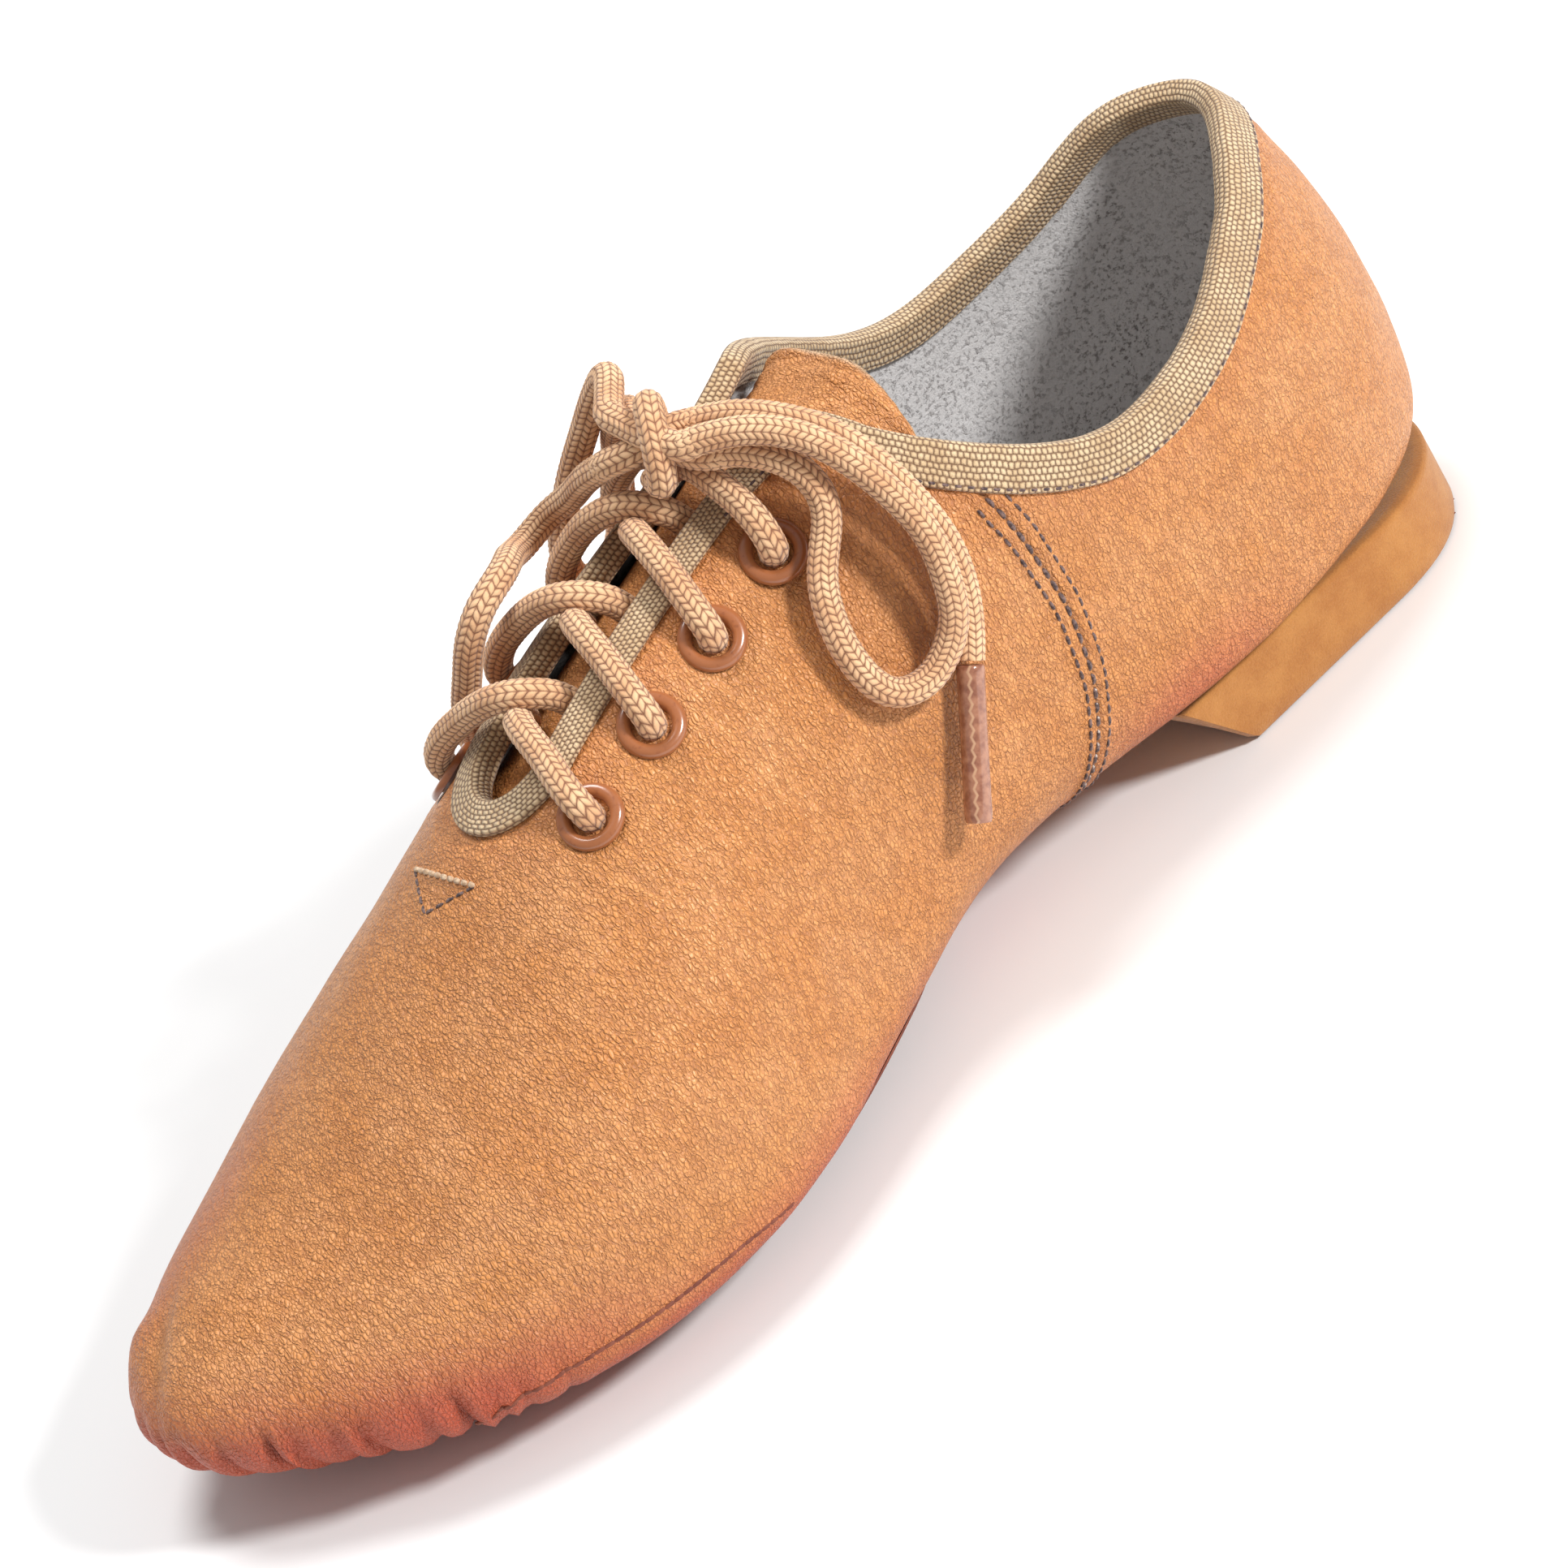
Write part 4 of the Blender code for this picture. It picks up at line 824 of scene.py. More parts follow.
def lace_route(side, number, table):
    """The lace's route from one eyelet over the throat, through rows of (back, across, above): shares of
    the eyelets' step and distance from the middle, and lace diameters over the leather."""
    route = []
    for back, across, above in table:
        along = EYELET_FIRST - EYELET_STEP * (number + back)
        y = last.spine(along)[0] + (-1, 1)[side] * across * EYELET_ACROSS
        x = to_frame((along, y, 0))[0]
        spot, normal = topside(x, y)
        route.append(spot + normal * above * LACE)
    return np.array(route)


for number in range(EYELET_COUNT - 1):
    runs = [
        smooth_route(lace_route(side, number, table), BRAID_STEP)
        for side, table in ((0, LACE_UNDER), (1, LACE_OVER))
    ]
    braided_tube(f"crossing_{number + 1}_braid", runs, [f"lace_crossing_{number + 1}"])
left, right = (lace_route(side, EYELET_COUNT - 1, LACE_TO_KNOT) for side in (0, 1))
bar = smooth_route(np.vstack([left, right[-2::-1]]), BRAID_STEP)
braided_tube("bar_braid", [bar], ["lace_bar"])
print("crossings and bar made")

# %% Knot
KNOT_WRAP_MIDDLE = (118.2, -4.6, 91.0)
KNOT_WRAP_LONG = 5.4 * MM
KNOT_WRAP_DEEP = 3.5 * MM
KNOT_WRAP_TURN = (-0.72 * math.pi, 1.30 * math.pi)
KNOT_WRAP_STEPS = 70
KNOT_UPWARD = np.array((0.63, 0.20, 0.75))
KNOT_OUTWARD = np.array((-0.40, -0.74, 0.54))
KNOT_ASIDE = np.array((0.66, -0.64, -0.38))
KNOT_RUNS = (
    ("lace_loop_left", 0, "lace_loop_right", 0, ((118.6, -7.0, 92.4), (118.9, -3.5, 93.2), (118.9, 0.4, 94.2))),
    ("lace_loop_left", -1, "lace_loop_right", -1, ((116.6, -7.6, 88.9), (117.0, -3.6, 90.0), (116.2, 0.6, 91.0))),
    ("lace_end_left", 0, "lace_end_right", 0, ((114.6, -3.2, 90.6), (117.6, -2.4, 90.8), (120.6, -1.0, 90.6))),
)
INTO_THE_CORD = 7


def cord_end(name, end):
    """The end of a cord's route, and a point a little further along it, in the order that leads outward."""
    route = cord_routes[name]
    return (route[0], route[INTO_THE_CORD]) if end == 0 else (route[-1], route[-1 - INTO_THE_CORD])


def knot_wrap():
    """The turn of lace round the middle of the bow, standing upright in the picture and leaning a little."""
    turn = np.linspace(*KNOT_WRAP_TURN, KNOT_WRAP_STEPS)[:, None]
    centre = to_frame(np.array(KNOT_WRAP_MIDDLE) * MM)
    lean = -1.3 * MM * np.sin(turn) + 1.7 * MM * np.linspace(-1, 1, KNOT_WRAP_STEPS)[:, None] ** 3
    route = centre + KNOT_WRAP_LONG * np.sin(turn) * KNOT_UPWARD + KNOT_WRAP_DEEP * np.cos(turn) * KNOT_OUTWARD
    return route + lean * KNOT_ASIDE


knot_routes = []
for first, first_end, last_cord, last_end, middle in KNOT_RUNS:
    start, before = cord_end(first, first_end)
    end, after = cord_end(last_cord, last_end)
    run = np.vstack([before, start, to_frame(np.array(middle) * MM), end, after])
    knot_routes.append(smooth_route(run, BRAID_STEP))
knot_routes.append(smooth_route(knot_wrap()[::4], BRAID_STEP))
braided_tube("knot_braid", knot_routes, ["lace_knot"])
print("knot wrap:", round(route_length(knot_routes[-1]) / MM, 1), "mm of lace")

# %% [markdown]
# ## The eyelets
#
# Each eyelet is a short brass tube with a rolled flange, painted to match the leather and pressed through it.
# It could be a torus on a tube. Spinning one drawn profile gives the flat seat, the round top of the flange and
# the inner wall in one piece.

# %% Painted eyelets


def eyelet_finish():
    finish = Finish("tan_enamel", Roughness=0.28, Coat_Roughness=0.15)
    where = finish.place()
    worn = finish.noise(where, 0.8, 3.0).between(0.55, 0.75)
    finish.set("Base Color", worn.blend((0.34, 0.115, 0.040), (0.26, 0.080, 0.028)))
    finish.set("Coat Weight", 0.6)
    finish.raise_surface(finish.noise(where, 1.4), 0.03)
    return finish.material


def spun(profile, sides):
    """Points and faces of a closed profile of (radius, height) spun about Z."""
    turn = 2 * math.pi * np.arange(sides)[:, None] / sides
    r, z = np.array(profile)[:, 0], np.array(profile)[:, 1]
    points = np.stack([r * np.cos(turn), r * np.sin(turn), np.broadcast_to(z, (sides, len(z)))], -1)
    return points.reshape(-1, 3), grid_faces(sides, len(profile), close_rows=True, close_columns=True)


tan_enamel = eyelet_finish()
EYELET_SIDES = 48
EYELET_CURL = 1.2 * MM
middle, reach = (EYELET_FLANGE + EYELET_HOLE) / 2, (EYELET_FLANGE - EYELET_HOLE) / 2
dome = [(middle + reach * math.cos(t), 0.12 * MM + 1.1 * EYELET_PLATE * math.sin(t) ** 0.8)
        for t in np.linspace(0, math.pi, 12)]
tube_end = -WALL - 0.5 * MM
profile = [(EYELET_FLANGE, 0.0)] + dome + [
    (EYELET_HOLE, -WALL), (EYELET_HOLE, tube_end - EYELET_TUBE_WALL),
    (EYELET_HOLE + EYELET_CURL, tube_end - EYELET_TUBE_WALL), (EYELET_HOLE + EYELET_CURL, tube_end),
    (EYELET_HOLE + EYELET_TUBE_WALL, tube_end), (EYELET_HOLE + EYELET_TUBE_WALL, 0.0),
]
for (side, number), (spot, normal) in eyelet_places.items():
    points, faces = spun(profile, EYELET_SIDES)
    matrix = Matrix.Translation(spot) @ normal.to_track_quat("Z", "Y").to_matrix().to_4x4()
    points = [matrix @ Vector(p) for p in points]
    name = f"eyelet_{('left', 'right')[side]}_{number + 1}"
    make_piece(name + "_painted", points, faces, tan_enamel, [name])
print("eyelets made:", len(eyelet_places))

# %% [markdown]
# ## The upper, in leather
#
# The vamp and the two quarters are soft cowhide, pulled over the last, turned under and glued. At the toe the
# extra leather is gathered into pleats that run under the sole. A flat pattern could be sewn and draped by
# cloth simulation, but lasted leather takes the last's form exactly, so the last's own sections are used.
#
# Its grain is a field of small rounded cells with thin creases between them and a few pores. The creases, pores,
# seams and pleat grooves are darkened as painted shade, and a red painted shade lies low round the toe and sides,
# on the toe's far side and beside the heel. A picture of leather could be wrapped round it, but that has seams and
# a light of its own.

# %% Leather
GRAIN = 0.70


def leather_finish():
    finish = Finish("tan_hide", Specular_IOR_Level=0.5)
    where = finish.place()
    warp = finish.noise(where, 1.4, 2.0) * 1.0
    spread = where * (1.25, 0.90, 0.90) + warp
    pebble = 1.0 - finish.cells(spread, GRAIN) ** 1.4
    edges = finish.cells(spread, GRAIN, "DISTANCE_TO_EDGE").between(0.0, 0.20)
    fine = finish.noise(where, 0.33, 3.0, 0.6)
    soft = finish.noise(where, 11.0, 3.0)
    streaks = finish.noise(where * (0.85, 0.24, 0.28) + warp * 0.5, 1.0, 3.0, 0.6)
    wrinkle = (1.0 - abs(streaks * 2.0 - 1.0)).between(0.84, 1.0)
    pores = finish.cells(where, 1.6)
    pore = (1.0 - pores.between(0.06, 0.11)) * finish.noise(where, 7.0).between(0.42, 0.6) * finish.mask("pores")
    height = pebble * 0.60 + edges * 0.30 + fine * 0.20 - wrinkle * 0.40 - pore * 0.6
    finish.raise_surface(height, 0.29)
    colour = (soft * 0.9 + fine * 0.1).between(0.25, 0.85).blend((0.66, 0.262, 0.072), (0.76, 0.352, 0.134))
    # The thin creases between the cells and the wrinkles are darkened: painted shade.
    shade = (1.0 - edges) * (0.14 + fine * 0.34) + wrinkle * 0.26
    colour = shade.blend(colour, (0.235, 0.064, 0.020))
    # A red painted shade: low round the toe and sides, on the toe's far side, beside the heel and a little by the
    # tape.
    painted_red_shade = (finish.mask("painted_red_shade") * 1.15 + soft * 0.3 - 0.15).between(0.0, 1.0) * 0.92
    colour = painted_red_shade.blend(colour, (0.47, 0.072, 0.032))
    # Painted shade, nearly black, in the seam groove, the pleat grooves, the arch seam, along the sole's edge and
    # above the heel.
    colour = finish.mask("crease_shade").blend(colour, (0.060, 0.020, 0.012))
    colour = finish.mask("raw").blend(colour, (0.66, 0.44, 0.27))
    # The pores are darkened: painted shade in their pits.
    finish.set("Base Color", (pore * 0.85).blend(colour, (0.08, 0.026, 0.014)))
    finish.set("Roughness", 0.40 - pebble * 0.08 + fine * 0.12)
    return finish.material


tan_hide = leather_finish()


# %% Where the seams run
SEAM_LINE = (
    (0, 98.0), (8, 97.0), (20, 93.6), (32, 89.4), (44, 87.6), (56, 87.9), (66, 89.4), (80, 91.5), (100, 92),
)
STITCH_ROW = 1.75 * MM
SOLE_SQUARE = 2.25
ARCH_BACK = 78 * MM
ARCH_FRONT = 121 * MM


def seam_along(height):
    """How far along the shoe the side seam lies at a height above the floor."""
    heights, places = np.array(SEAM_LINE).T * MM
    return np.interp(height, heights, places)


def seam_profile(distance):
    """The pressed-open seam between vamp and quarter: two low welts with a groove between them."""
    share = np.clip(np.abs(distance) / SEAM_HALF_WIDTH, 0, 1)
    return np.sin(math.pi * share) ** 2 - 0.55 * (1 - share) ** 4


def middle_line(along):
    """How far the middle line of the last lies from the straight middle."""
    return last.spine(np.clip(along, last.first, last.last))[..., 0]


def sole_share(along, across):
    """0 in the middle of the front sole, 1 on its edge."""
    ahead = (along - SOLE_MIDDLE) / (SOLE_LENGTH / 2)
    aside = (across - middle_line(along)) / (SOLE_WIDTH / 2 * (1 + SOLE_REAR_TAPER * np.clip(ahead, -1, 1)))
    return (np.abs(ahead) ** SOLE_SQUARE + np.abs(aside) ** SOLE_SQUARE) ** (1 / SOLE_SQUARE)


def edge_path(side_along):
    """The upper's edge through (side, along) pairs, and the way into the leather at each point."""
    places = np.array([last.place(side, along) for side, along in side_along])
    edges = last.edge_angle(places)
    return to_frame(last.point(places, edges)), to_frame(last.point(places, edges - 0.06))


def even_steps(points, spacing, *others):
    """Points and their companions read at even steps along a polyline."""
    steps = np.linalg.norm(np.diff(points, axis=0), axis=1)
    distance = np.concatenate([[0], np.cumsum(steps)])
    places = np.linspace(0, distance[-1], max(2, int(round(distance[-1] / spacing))) + 1)
    return [np.column_stack([np.interp(places, distance, line[:, k]) for k in range(line.shape[1])])
            for line in (points, *others)]


def spread_toward_ends(start, end, count):
    return start + (end - start) * (1 - np.cos(np.linspace(0, math.pi, count))) / 2


down = spread_toward_ends(THROAT_BOTTOM, last.shortest, 1200)
ring = [(0, x) for x in down] + [(1, x) for x in down[-2::-1]]
rim_path, rim_inside = even_steps(edge_path(ring)[0], 0.75 * MM, edge_path(ring)[1])
print("edge of the upper:", round(route_length(rim_path) / MM), "mm round")

# %% [markdown]
# ## Pleats, seams and dents
#
# Soft leather never lies quite on its last. It stands up along the pressed seam, gathers into pleats round the
# toe and sinks beside the eyelets. That could be sculpted by hand. Here each is a height along the normal, worked
# out from a distance, so that it can be measured and the inner layers can be kept clear of the deep folds.

# %% The relief of the leather
QUARTER = math.pi / 2
PLEAT_STEP = 5.6
PLEAT_DEPTH = 3.2 * MM
PLEAT_CREST = 0.80
PLEATS_MIDDLE = 2
PLEATS_FADE = (44, 68)
EYELET_DENT = 0.45 * MM
EYELET_DENT_WIDTH = 5.2 * MM
EYELET_RING = 0.12 * MM
EYELET_RING_RADIUS = 7.0 * MM
EYELET_RING_WIDTH = 1.6 * MM
TAPE_PRESS = 0.25 * MM
TAPE_PRESS_REACH = (3.0 * MM, 6.5 * MM)
TAPE_SWELL = 0.30 * MM
TAPE_SWELL_PLACE = 9.0 * MM
TAPE_SWELL_WIDTH = 2.6 * MM
HEEL_SWELL = 0.7 * MM
HEEL_SWELL_LEVEL = 16.5 * MM
HEEL_SWELL_WIDTH = 3.2 * MM
WAVE = 0.45 * MM
WAVE_SIZES = (0.026, 0.011)
TROUGHS = {
    "under the top eyelet": ((119, -19.0, 69), (125, -24.0, 62), (135, -29.5, 50), 3.2, 0.55),
    "far side of the toe": ((238, 17.0, 30), (247.5, 8.5, 24), (251.8, 3.4, 16), 2.2, 0.75),
    "lobe beside it": ((243, 21.0, 23), (247, 15.5, 18), (248, 13.0, 12), 4.0, -1.2),
    "inner arch": ((96, 27.0, 30), (110, 27.5, 24), (124, 30.0, 18), 4.0, 0.5),
}


def noise_at(points, *sizes):
    """Smooth noise at each point, the first size in full and the next at half strength."""
    return np.array([sum(noise.noise(Vector(p) / size) / (k + 1) for k, size in enumerate(sizes))
                     for p in points.reshape(-1, 3)]).reshape(points.shape[:-1])


def bell(distance, width, power=2):
    """1 where the distance is 0, with a soft fall to 0 over about two widths."""
    return np.exp(-((distance / width) ** power))


def distance_to_line(points, line):
    """Distance from each point to a polyline through places in millimetres."""
    line = to_frame(np.array(line) * MM)
    best = np.full(points.shape[:-1], 1.0)
    for start, end in zip(line[:-1], line[1:]):
        way = end - start
        share = np.clip(((points - start) @ way) / (way @ way), 0, 1)
        best = np.minimum(best, np.linalg.norm(points - start - share[..., None] * way, axis=-1))
    return best


def distance_to_rim(points):
    """Distance from each point to the edge of the upper."""
    tree = KDTree(len(rim_path))
    for k, spot in enumerate(rim_path):
        tree.insert(spot, k)
    tree.balance()
    return np.array([tree.find(p)[2] for p in points.reshape(-1, 3)]).reshape(points.shape[:-1])


def low_on_the_toe(angle, walk, low, high, fade):
    """1 along the lower edge of the toe, where the leather is gathered, and 0 elsewhere."""
    return smooth_step(low, high, -angle / QUARTER) * (1 - smooth_step(*fade, np.abs(walk / MM - PLEATS_MIDDLE)))


def pleats(angle, walk, share):
    """How much the leather is gathered at each point, and its folds, from 0 in a groove to 1 on a crest."""
    steps = walk / MM / PLEAT_STEP
    steps = steps + 0.22 * np.sin(walk / MM * 0.23 + 1) + 0.12 * np.sin(walk / MM * 0.61)
    fold = np.abs(np.sin(math.pi * steps)) ** 0.62
    size = 0.72 + 0.28 * np.sin(2.4 * np.floor(steps) + 0.8)
    gathered = low_on_the_toe(angle, walk, -0.20, 0.14, PLEATS_FADE)
    return gathered * smooth_step(0.97, 1.03, share) * size, fold


def red_shade_mask(along, across, height, edge):
    """Where a red painted shade lies: low round the toe and sides, the toe's far side, beside the heel, a little by
    the tape.
    """
    toe = smooth_step(30 * MM, 11 * MM, height) * smooth_step(175 * MM, 240 * MM, along)
    side_band = 0.8 * smooth_step(17 * MM, 6 * MM, height) * smooth_step(80 * MM, 110 * MM, along)
    heel_front = 0.55 * (smooth_step(34 * MM, 14 * MM, height) * bell(along - 74 * MM, 20 * MM))
    heel_low = 0.35 * smooth_step(20 * MM, 12 * MM, height)
    far_toe = 0.42 * smooth_step(6 * MM, 24 * MM, across) * smooth_step(178 * MM, 235 * MM, along)
    by_the_tape = 0.14 * smooth_step(20 * MM, 5 * MM, edge)
    return np.maximum.reduce([toe, side_band, heel_front, heel_low, far_toe, by_the_tape])


def leather_relief(points, angle, walk):
    """Height of the leather over the last, and its masks. walk is the distance from the toe along the rim."""
    along, across, height = HEEL_MIDDLE - points[..., 0], points[..., 1], points[..., 2]
    share = sole_share(along, across)
    edge = distance_to_rim(points)
    from_middle = across - middle_line(along)
    seam = along - seam_along(height)
    gathered, fold = pleats(angle, walk, share)
    relief = SEAM_RAISE * 0.85 * seam_profile(seam) + PLEAT_DEPTH * gathered * (fold - PLEAT_CREST)
    for spot, _ in eyelet_places.values():
        away = np.linalg.norm(points - np.array(spot), axis=-1)
        relief = relief - EYELET_DENT * bell(away, EYELET_DENT_WIDTH, 4)
        relief = relief + EYELET_RING * bell(away - EYELET_RING_RADIUS, EYELET_RING_WIDTH)
    relief = relief - TAPE_PRESS * (1 - smooth_step(*TAPE_PRESS_REACH, edge))
    relief = relief + TAPE_SWELL * bell(edge - TAPE_SWELL_PLACE, TAPE_SWELL_WIDTH)
    for *line, width, depth in TROUGHS.values():
        relief = relief - depth * MM * bell(distance_to_line(points, line), width * MM)
    low = bell(height - HEEL_SWELL_LEVEL, HEEL_SWELL_WIDTH) * smooth_step(26 * MM, 60 * MM, along)
    relief = relief + HEEL_SWELL * low * (1 - smooth_step(78 * MM, 90 * MM, along))
    arch = smooth_step(-0.80, -0.95, angle / QUARTER)
    arch = arch * (along > ARCH_BACK - 6 * MM) * (along < ARCH_FRONT + 4 * MM)
    relief = relief + arch * SEAM_RAISE * seam_profile(from_middle)
    waves = noise_at(points, *WAVE_SIZES)
    quiet = smooth_step(2 * MM, 12 * MM, edge) * smooth_step(0.9, 1.1, np.where(angle < -0.6, share, 2))
    relief = relief + WAVE * waves * quiet
    # Painted shade in the creases: the seam groove, the pleat grooves, the arch seam, the sole's edge and above the
    # heel.
    crease_shade_parts = [
        0.8 * bell(seam, 0.26 * MM),
        0.9 * gathered * smooth_step(0.60, 0.0, fold),
        0.9 * arch * bell(from_middle, 0.42 * MM),
        0.8 * bell(share - 1.0, 0.012) * (angle < -0.5),
        0.85 * smooth_step(16.4 * MM, 14.4 * MM, height) * (along < HEEL_FRONT + 1 * MM),
    ]
    pores = 0.25 + 0.75 * smooth_step(70 * MM, 30 * MM, along) * smooth_step(30 * MM, 45 * MM, height)
    # Where the red painted shade lies.
    painted_red_shade = red_shade_mask(along, across, height, edge)
    return relief, {"crease_shade": np.maximum.reduce(crease_shade_parts), "painted_red_shade": painted_red_shade, "pores": pores}


def clear_of_the_folds(points, angle, walk):
    """How far the inner layers stay back from the last where the leather has deep folds."""
    deep = 2.6 * MM * low_on_the_toe(angle, walk, -0.30, 0.02, (48, 76))
    for *line, width, depth in TROUGHS.values():
        deep = np.maximum(deep, depth * 1.3 * MM * bell(distance_to_line(points, line), 3 * width * MM))
    return deep[..., None]


# %% The upper as a grid, and the leather
LEATHER_WALL = 1.0 * MM
NUDGE = 1e-4
NO_SIZE = 1e-13
WELD = 0.02 * MM
SEAM_ZONE = (84 * MM, 100 * MM)
SEAM_ZONE_STEP = 8 * MM
CLOSEST = 0.012 * MM
FOOT_AXIS = (45 * MM, 190 * MM)
FOOT_AXIS_HEIGHT = 0.03


def upper_stations(toe_count, step, heel_count, fine):
    """Distances along the shoe of the sections, closer where the form turns."""
    quarter = lambda count: 1 - np.cos(np.linspace(0, math.pi / 2, count))
    toe = last.longest - (last.longest - last.last) * quarter(toe_count)
    heel = last.shortest + (last.first - last.shortest) * quarter(heel_count)
    body = np.arange(last.first, last.last, step)
    throat = THROAT_BOTTOM - THROAT_ROUND * quarter(fine)
    seam = np.arange(*SEAM_ZONE, SEAM_ZONE_STEP / fine)
    joined = np.unique(np.round(np.concatenate([toe, heel, body, throat, seam]), 6))
    keep = [joined[0]]
    for x in joined[1:]:
        if x - keep[-1] > CLOSEST * (1 if x > last.last or x < last.first else 12):
            keep.append(x)
    return np.array(keep)[::-1]


def upper_grid(stations, rows):
    """Points, normals, angles and walking distances of the upper's surface, left edge to right edge."""
    parts = []
    for side in (0, 1):
        place = last.place(side, stations)
        angles = section_angles(place, rows)
        wide = np.broadcast_to(place[:, None], angles.shape)
        points = last.point(wide, angles)
        along_rim = last.point(wide + NUDGE, angles) - last.point(wide - NUDGE, angles)
        above = last.point(wide, np.minimum(angles + NUDGE, QUARTER))
        around = above - last.point(wide, np.maximum(angles - NUDGE, -QUARTER))
        normals = np.cross(along_rim, around)
        size = np.linalg.norm(normals, axis=-1, keepdims=True)
        normals = normals / np.where(size > 0, size, 1)
        upright = np.zeros_like(normals)
        upright[..., 2] = np.sign(angles)
        normals = np.where(size > NO_SIZE, normals, upright)
        normals[..., 0] *= -1
        inside = np.clip(points[..., 0], *FOOT_AXIS)
        inside = np.stack([inside, last.spine(inside)[..., 0], np.full(inside.shape, FOOT_AXIS_HEIGHT)], -1)
        outward = to_frame(points) - to_frame(inside)
        flip = np.sign((normals * outward).sum(-1, keepdims=True))
        normals = normals * np.where(flip == 0, 1, flip)
        start = last.sides[side][0][0]
        parts.append((to_frame(points), normals, angles, wide - start))
    points, normals, angles, walk = (np.concatenate([a[:, ::-1], b[:, 1:]], axis=1) for a, b in zip(*parts))
    closed = np.linalg.norm(points[:, 0] - points[:, -1], axis=-1) < WELD
    shared = normals[:, 0] + normals[:, -1]
    shared = shared / np.linalg.norm(shared, axis=-1, keepdims=True)
    for j in (0, -1):
        normals[:, j] = np.where(closed[:, None], shared, normals[:, j])
    return points, normals, angles, walk


def shell(name, outer, inner, material, nodes, masks):
    """A closed piece between an outer and an inner surface with the same grid."""
    rows, columns = outer.shape[:2]
    faces = grid_faces(rows, columns)
    count = rows * columns
    inside = faces[:, ::-1] + count
    rim = []
    opened = np.linalg.norm(outer[:, 0] - outer[:, -1], axis=-1) > WELD
    first = max(0, int(np.argmax(opened)) - 1)
    for j in (0, columns - 1):
        line = np.arange(first, rows) * columns + j
        pairs = np.stack([line[:-1], line[1:], line[1:] + count, line[:-1] + count], -1)
        rim.append(pairs if j == 0 else pairs[:, ::-1])
    faces = np.vstack([faces, inside, *rim])
    points = np.concatenate([outer.reshape(-1, 3), inner.reshape(-1, 3)])
    masks = {key: np.concatenate([value.ravel(), value.ravel()]) for key, value in masks.items()}
    return make_piece(name, points, faces, material, nodes, masks, weld=WELD)


points, normals, angles, walk = upper_grid(upper_stations(64, 0.95 * MM, 34, 16), 64)
relief, masks = leather_relief(points, angles, walk)
outer = points + normals * relief[..., None]
inner = points - normals * (LEATHER_WALL + clear_of_the_folds(points, angles, walk))
hide = BVHTree.FromPolygons(outer.reshape(-1, 3).tolist(), grid_faces(*outer.shape[:2]).tolist())
shell("upper_leather", outer, inner, tan_hide, ["upper"], masks)
print("leather grid", outer.shape[:2], "relief in mm", [round(x / MM, 2) for x in (relief.min(), relief.max())])

# %% [markdown]
# ## The lining
#
# The inside is a pale grey suede with darker flecks, where the nap lies the other way. It is a second, thinner
# shell just inside the leather. Painting the leather's own inner faces would be less work, but a shoe's lining is
# a piece of its own and catches light differently. A mask darkens it beside the throat, where the tongue keeps the
# light out.

# %% Suede lining


def lining_finish():
    finish = Finish("grey_suede", Roughness=0.95, Sheen_Weight=0.2, Sheen_Roughness=0.6)
    where = finish.place()
    nap = finish.noise(where, 0.5, 4.0, 0.65)
    flecks = finish.noise(where, 0.8, 4.0, 0.7).between(0.50, 0.66)
    patches = finish.noise(where, 12.0, 3.0)
    dark = flecks * (patches * 1.4 - 0.2).between(0.05, 0.8) + nap * 0.2
    grey = dark.blend((0.74, 0.72, 0.71), (0.26, 0.235, 0.23))
    finish.set("Base Color", finish.mask("throat").blend(grey, (0.055, 0.036, 0.028)))
    finish.raise_surface(nap + flecks * 0.4, 0.30)
    return finish.material


grey_suede = lining_finish()
LINING_WRINKLE = 0.017
points, normals, angles, walk = upper_grid(upper_stations(24, 2.2 * MM, 22, 8), 34)
wrinkles = noise_at(points, LINING_WRINKLE)
back = clear_of_the_folds(points, angles, walk)
outer = points - normals * (LEATHER_WALL + 0.05 * MM + back)
inner = points - normals * (WALL + 0.12 * MM * wrinkles[..., None] + back)
along = HEEL_MIDDLE - points[..., 0]
masks = {"throat": smooth_step(100 * MM, 112 * MM, along) * smooth_step(26 * MM, 12 * MM, distance_to_rim(points))}
shell("upper_lining", outer, inner, grey_suede, ["upper"], masks)
print("lining grid", outer.shape[:2])

# %% [markdown]
# ## Thread
#
# Every stitch is one short bead of twisted thread that sinks into the leather at both ends. Stitches could be
# painted as a dotted line. As small beads they catch the light and throw shadows, and a few hundred cost little.

# %% Stitches
SHOE_MIDDLE = Vector((-0.06, 0.0, 0.04))
BEAD = ((-1, 0.25), (-0.82, 0.75), (-0.4, 1.0), (0.4, 1.0), (0.82, 0.75), (1, 0.25))
BEAD_SIDES = 8
SEAM_TURN = ((0.02, 0.07), (0.95, 1.35))
SEAM_TOP_HEIGHT = 0.078
SEAM_TOP_BACK = 13
SIDE_STITCH = (1.9 * MM, 0.12 * MM, 0.52 * MM)
TIE_STITCH = (2.2 * MM, 0.22 * MM, 0.75 * MM)
ARCH_STITCH = (2.4 * MM, 0.15 * MM, 0.62 * MM)


def thread_finish(name, dark, light):
    finish = Finish(name, Roughness=0.75, Sheen_Weight=0.2)
    twist = finish.noise(finish.place(), 0.5, 2.0)
    finish.set("Base Color", twist.between(0.35, 0.7).blend(dark, light))
    finish.raise_surface(twist, 0.1)
    return finish.material


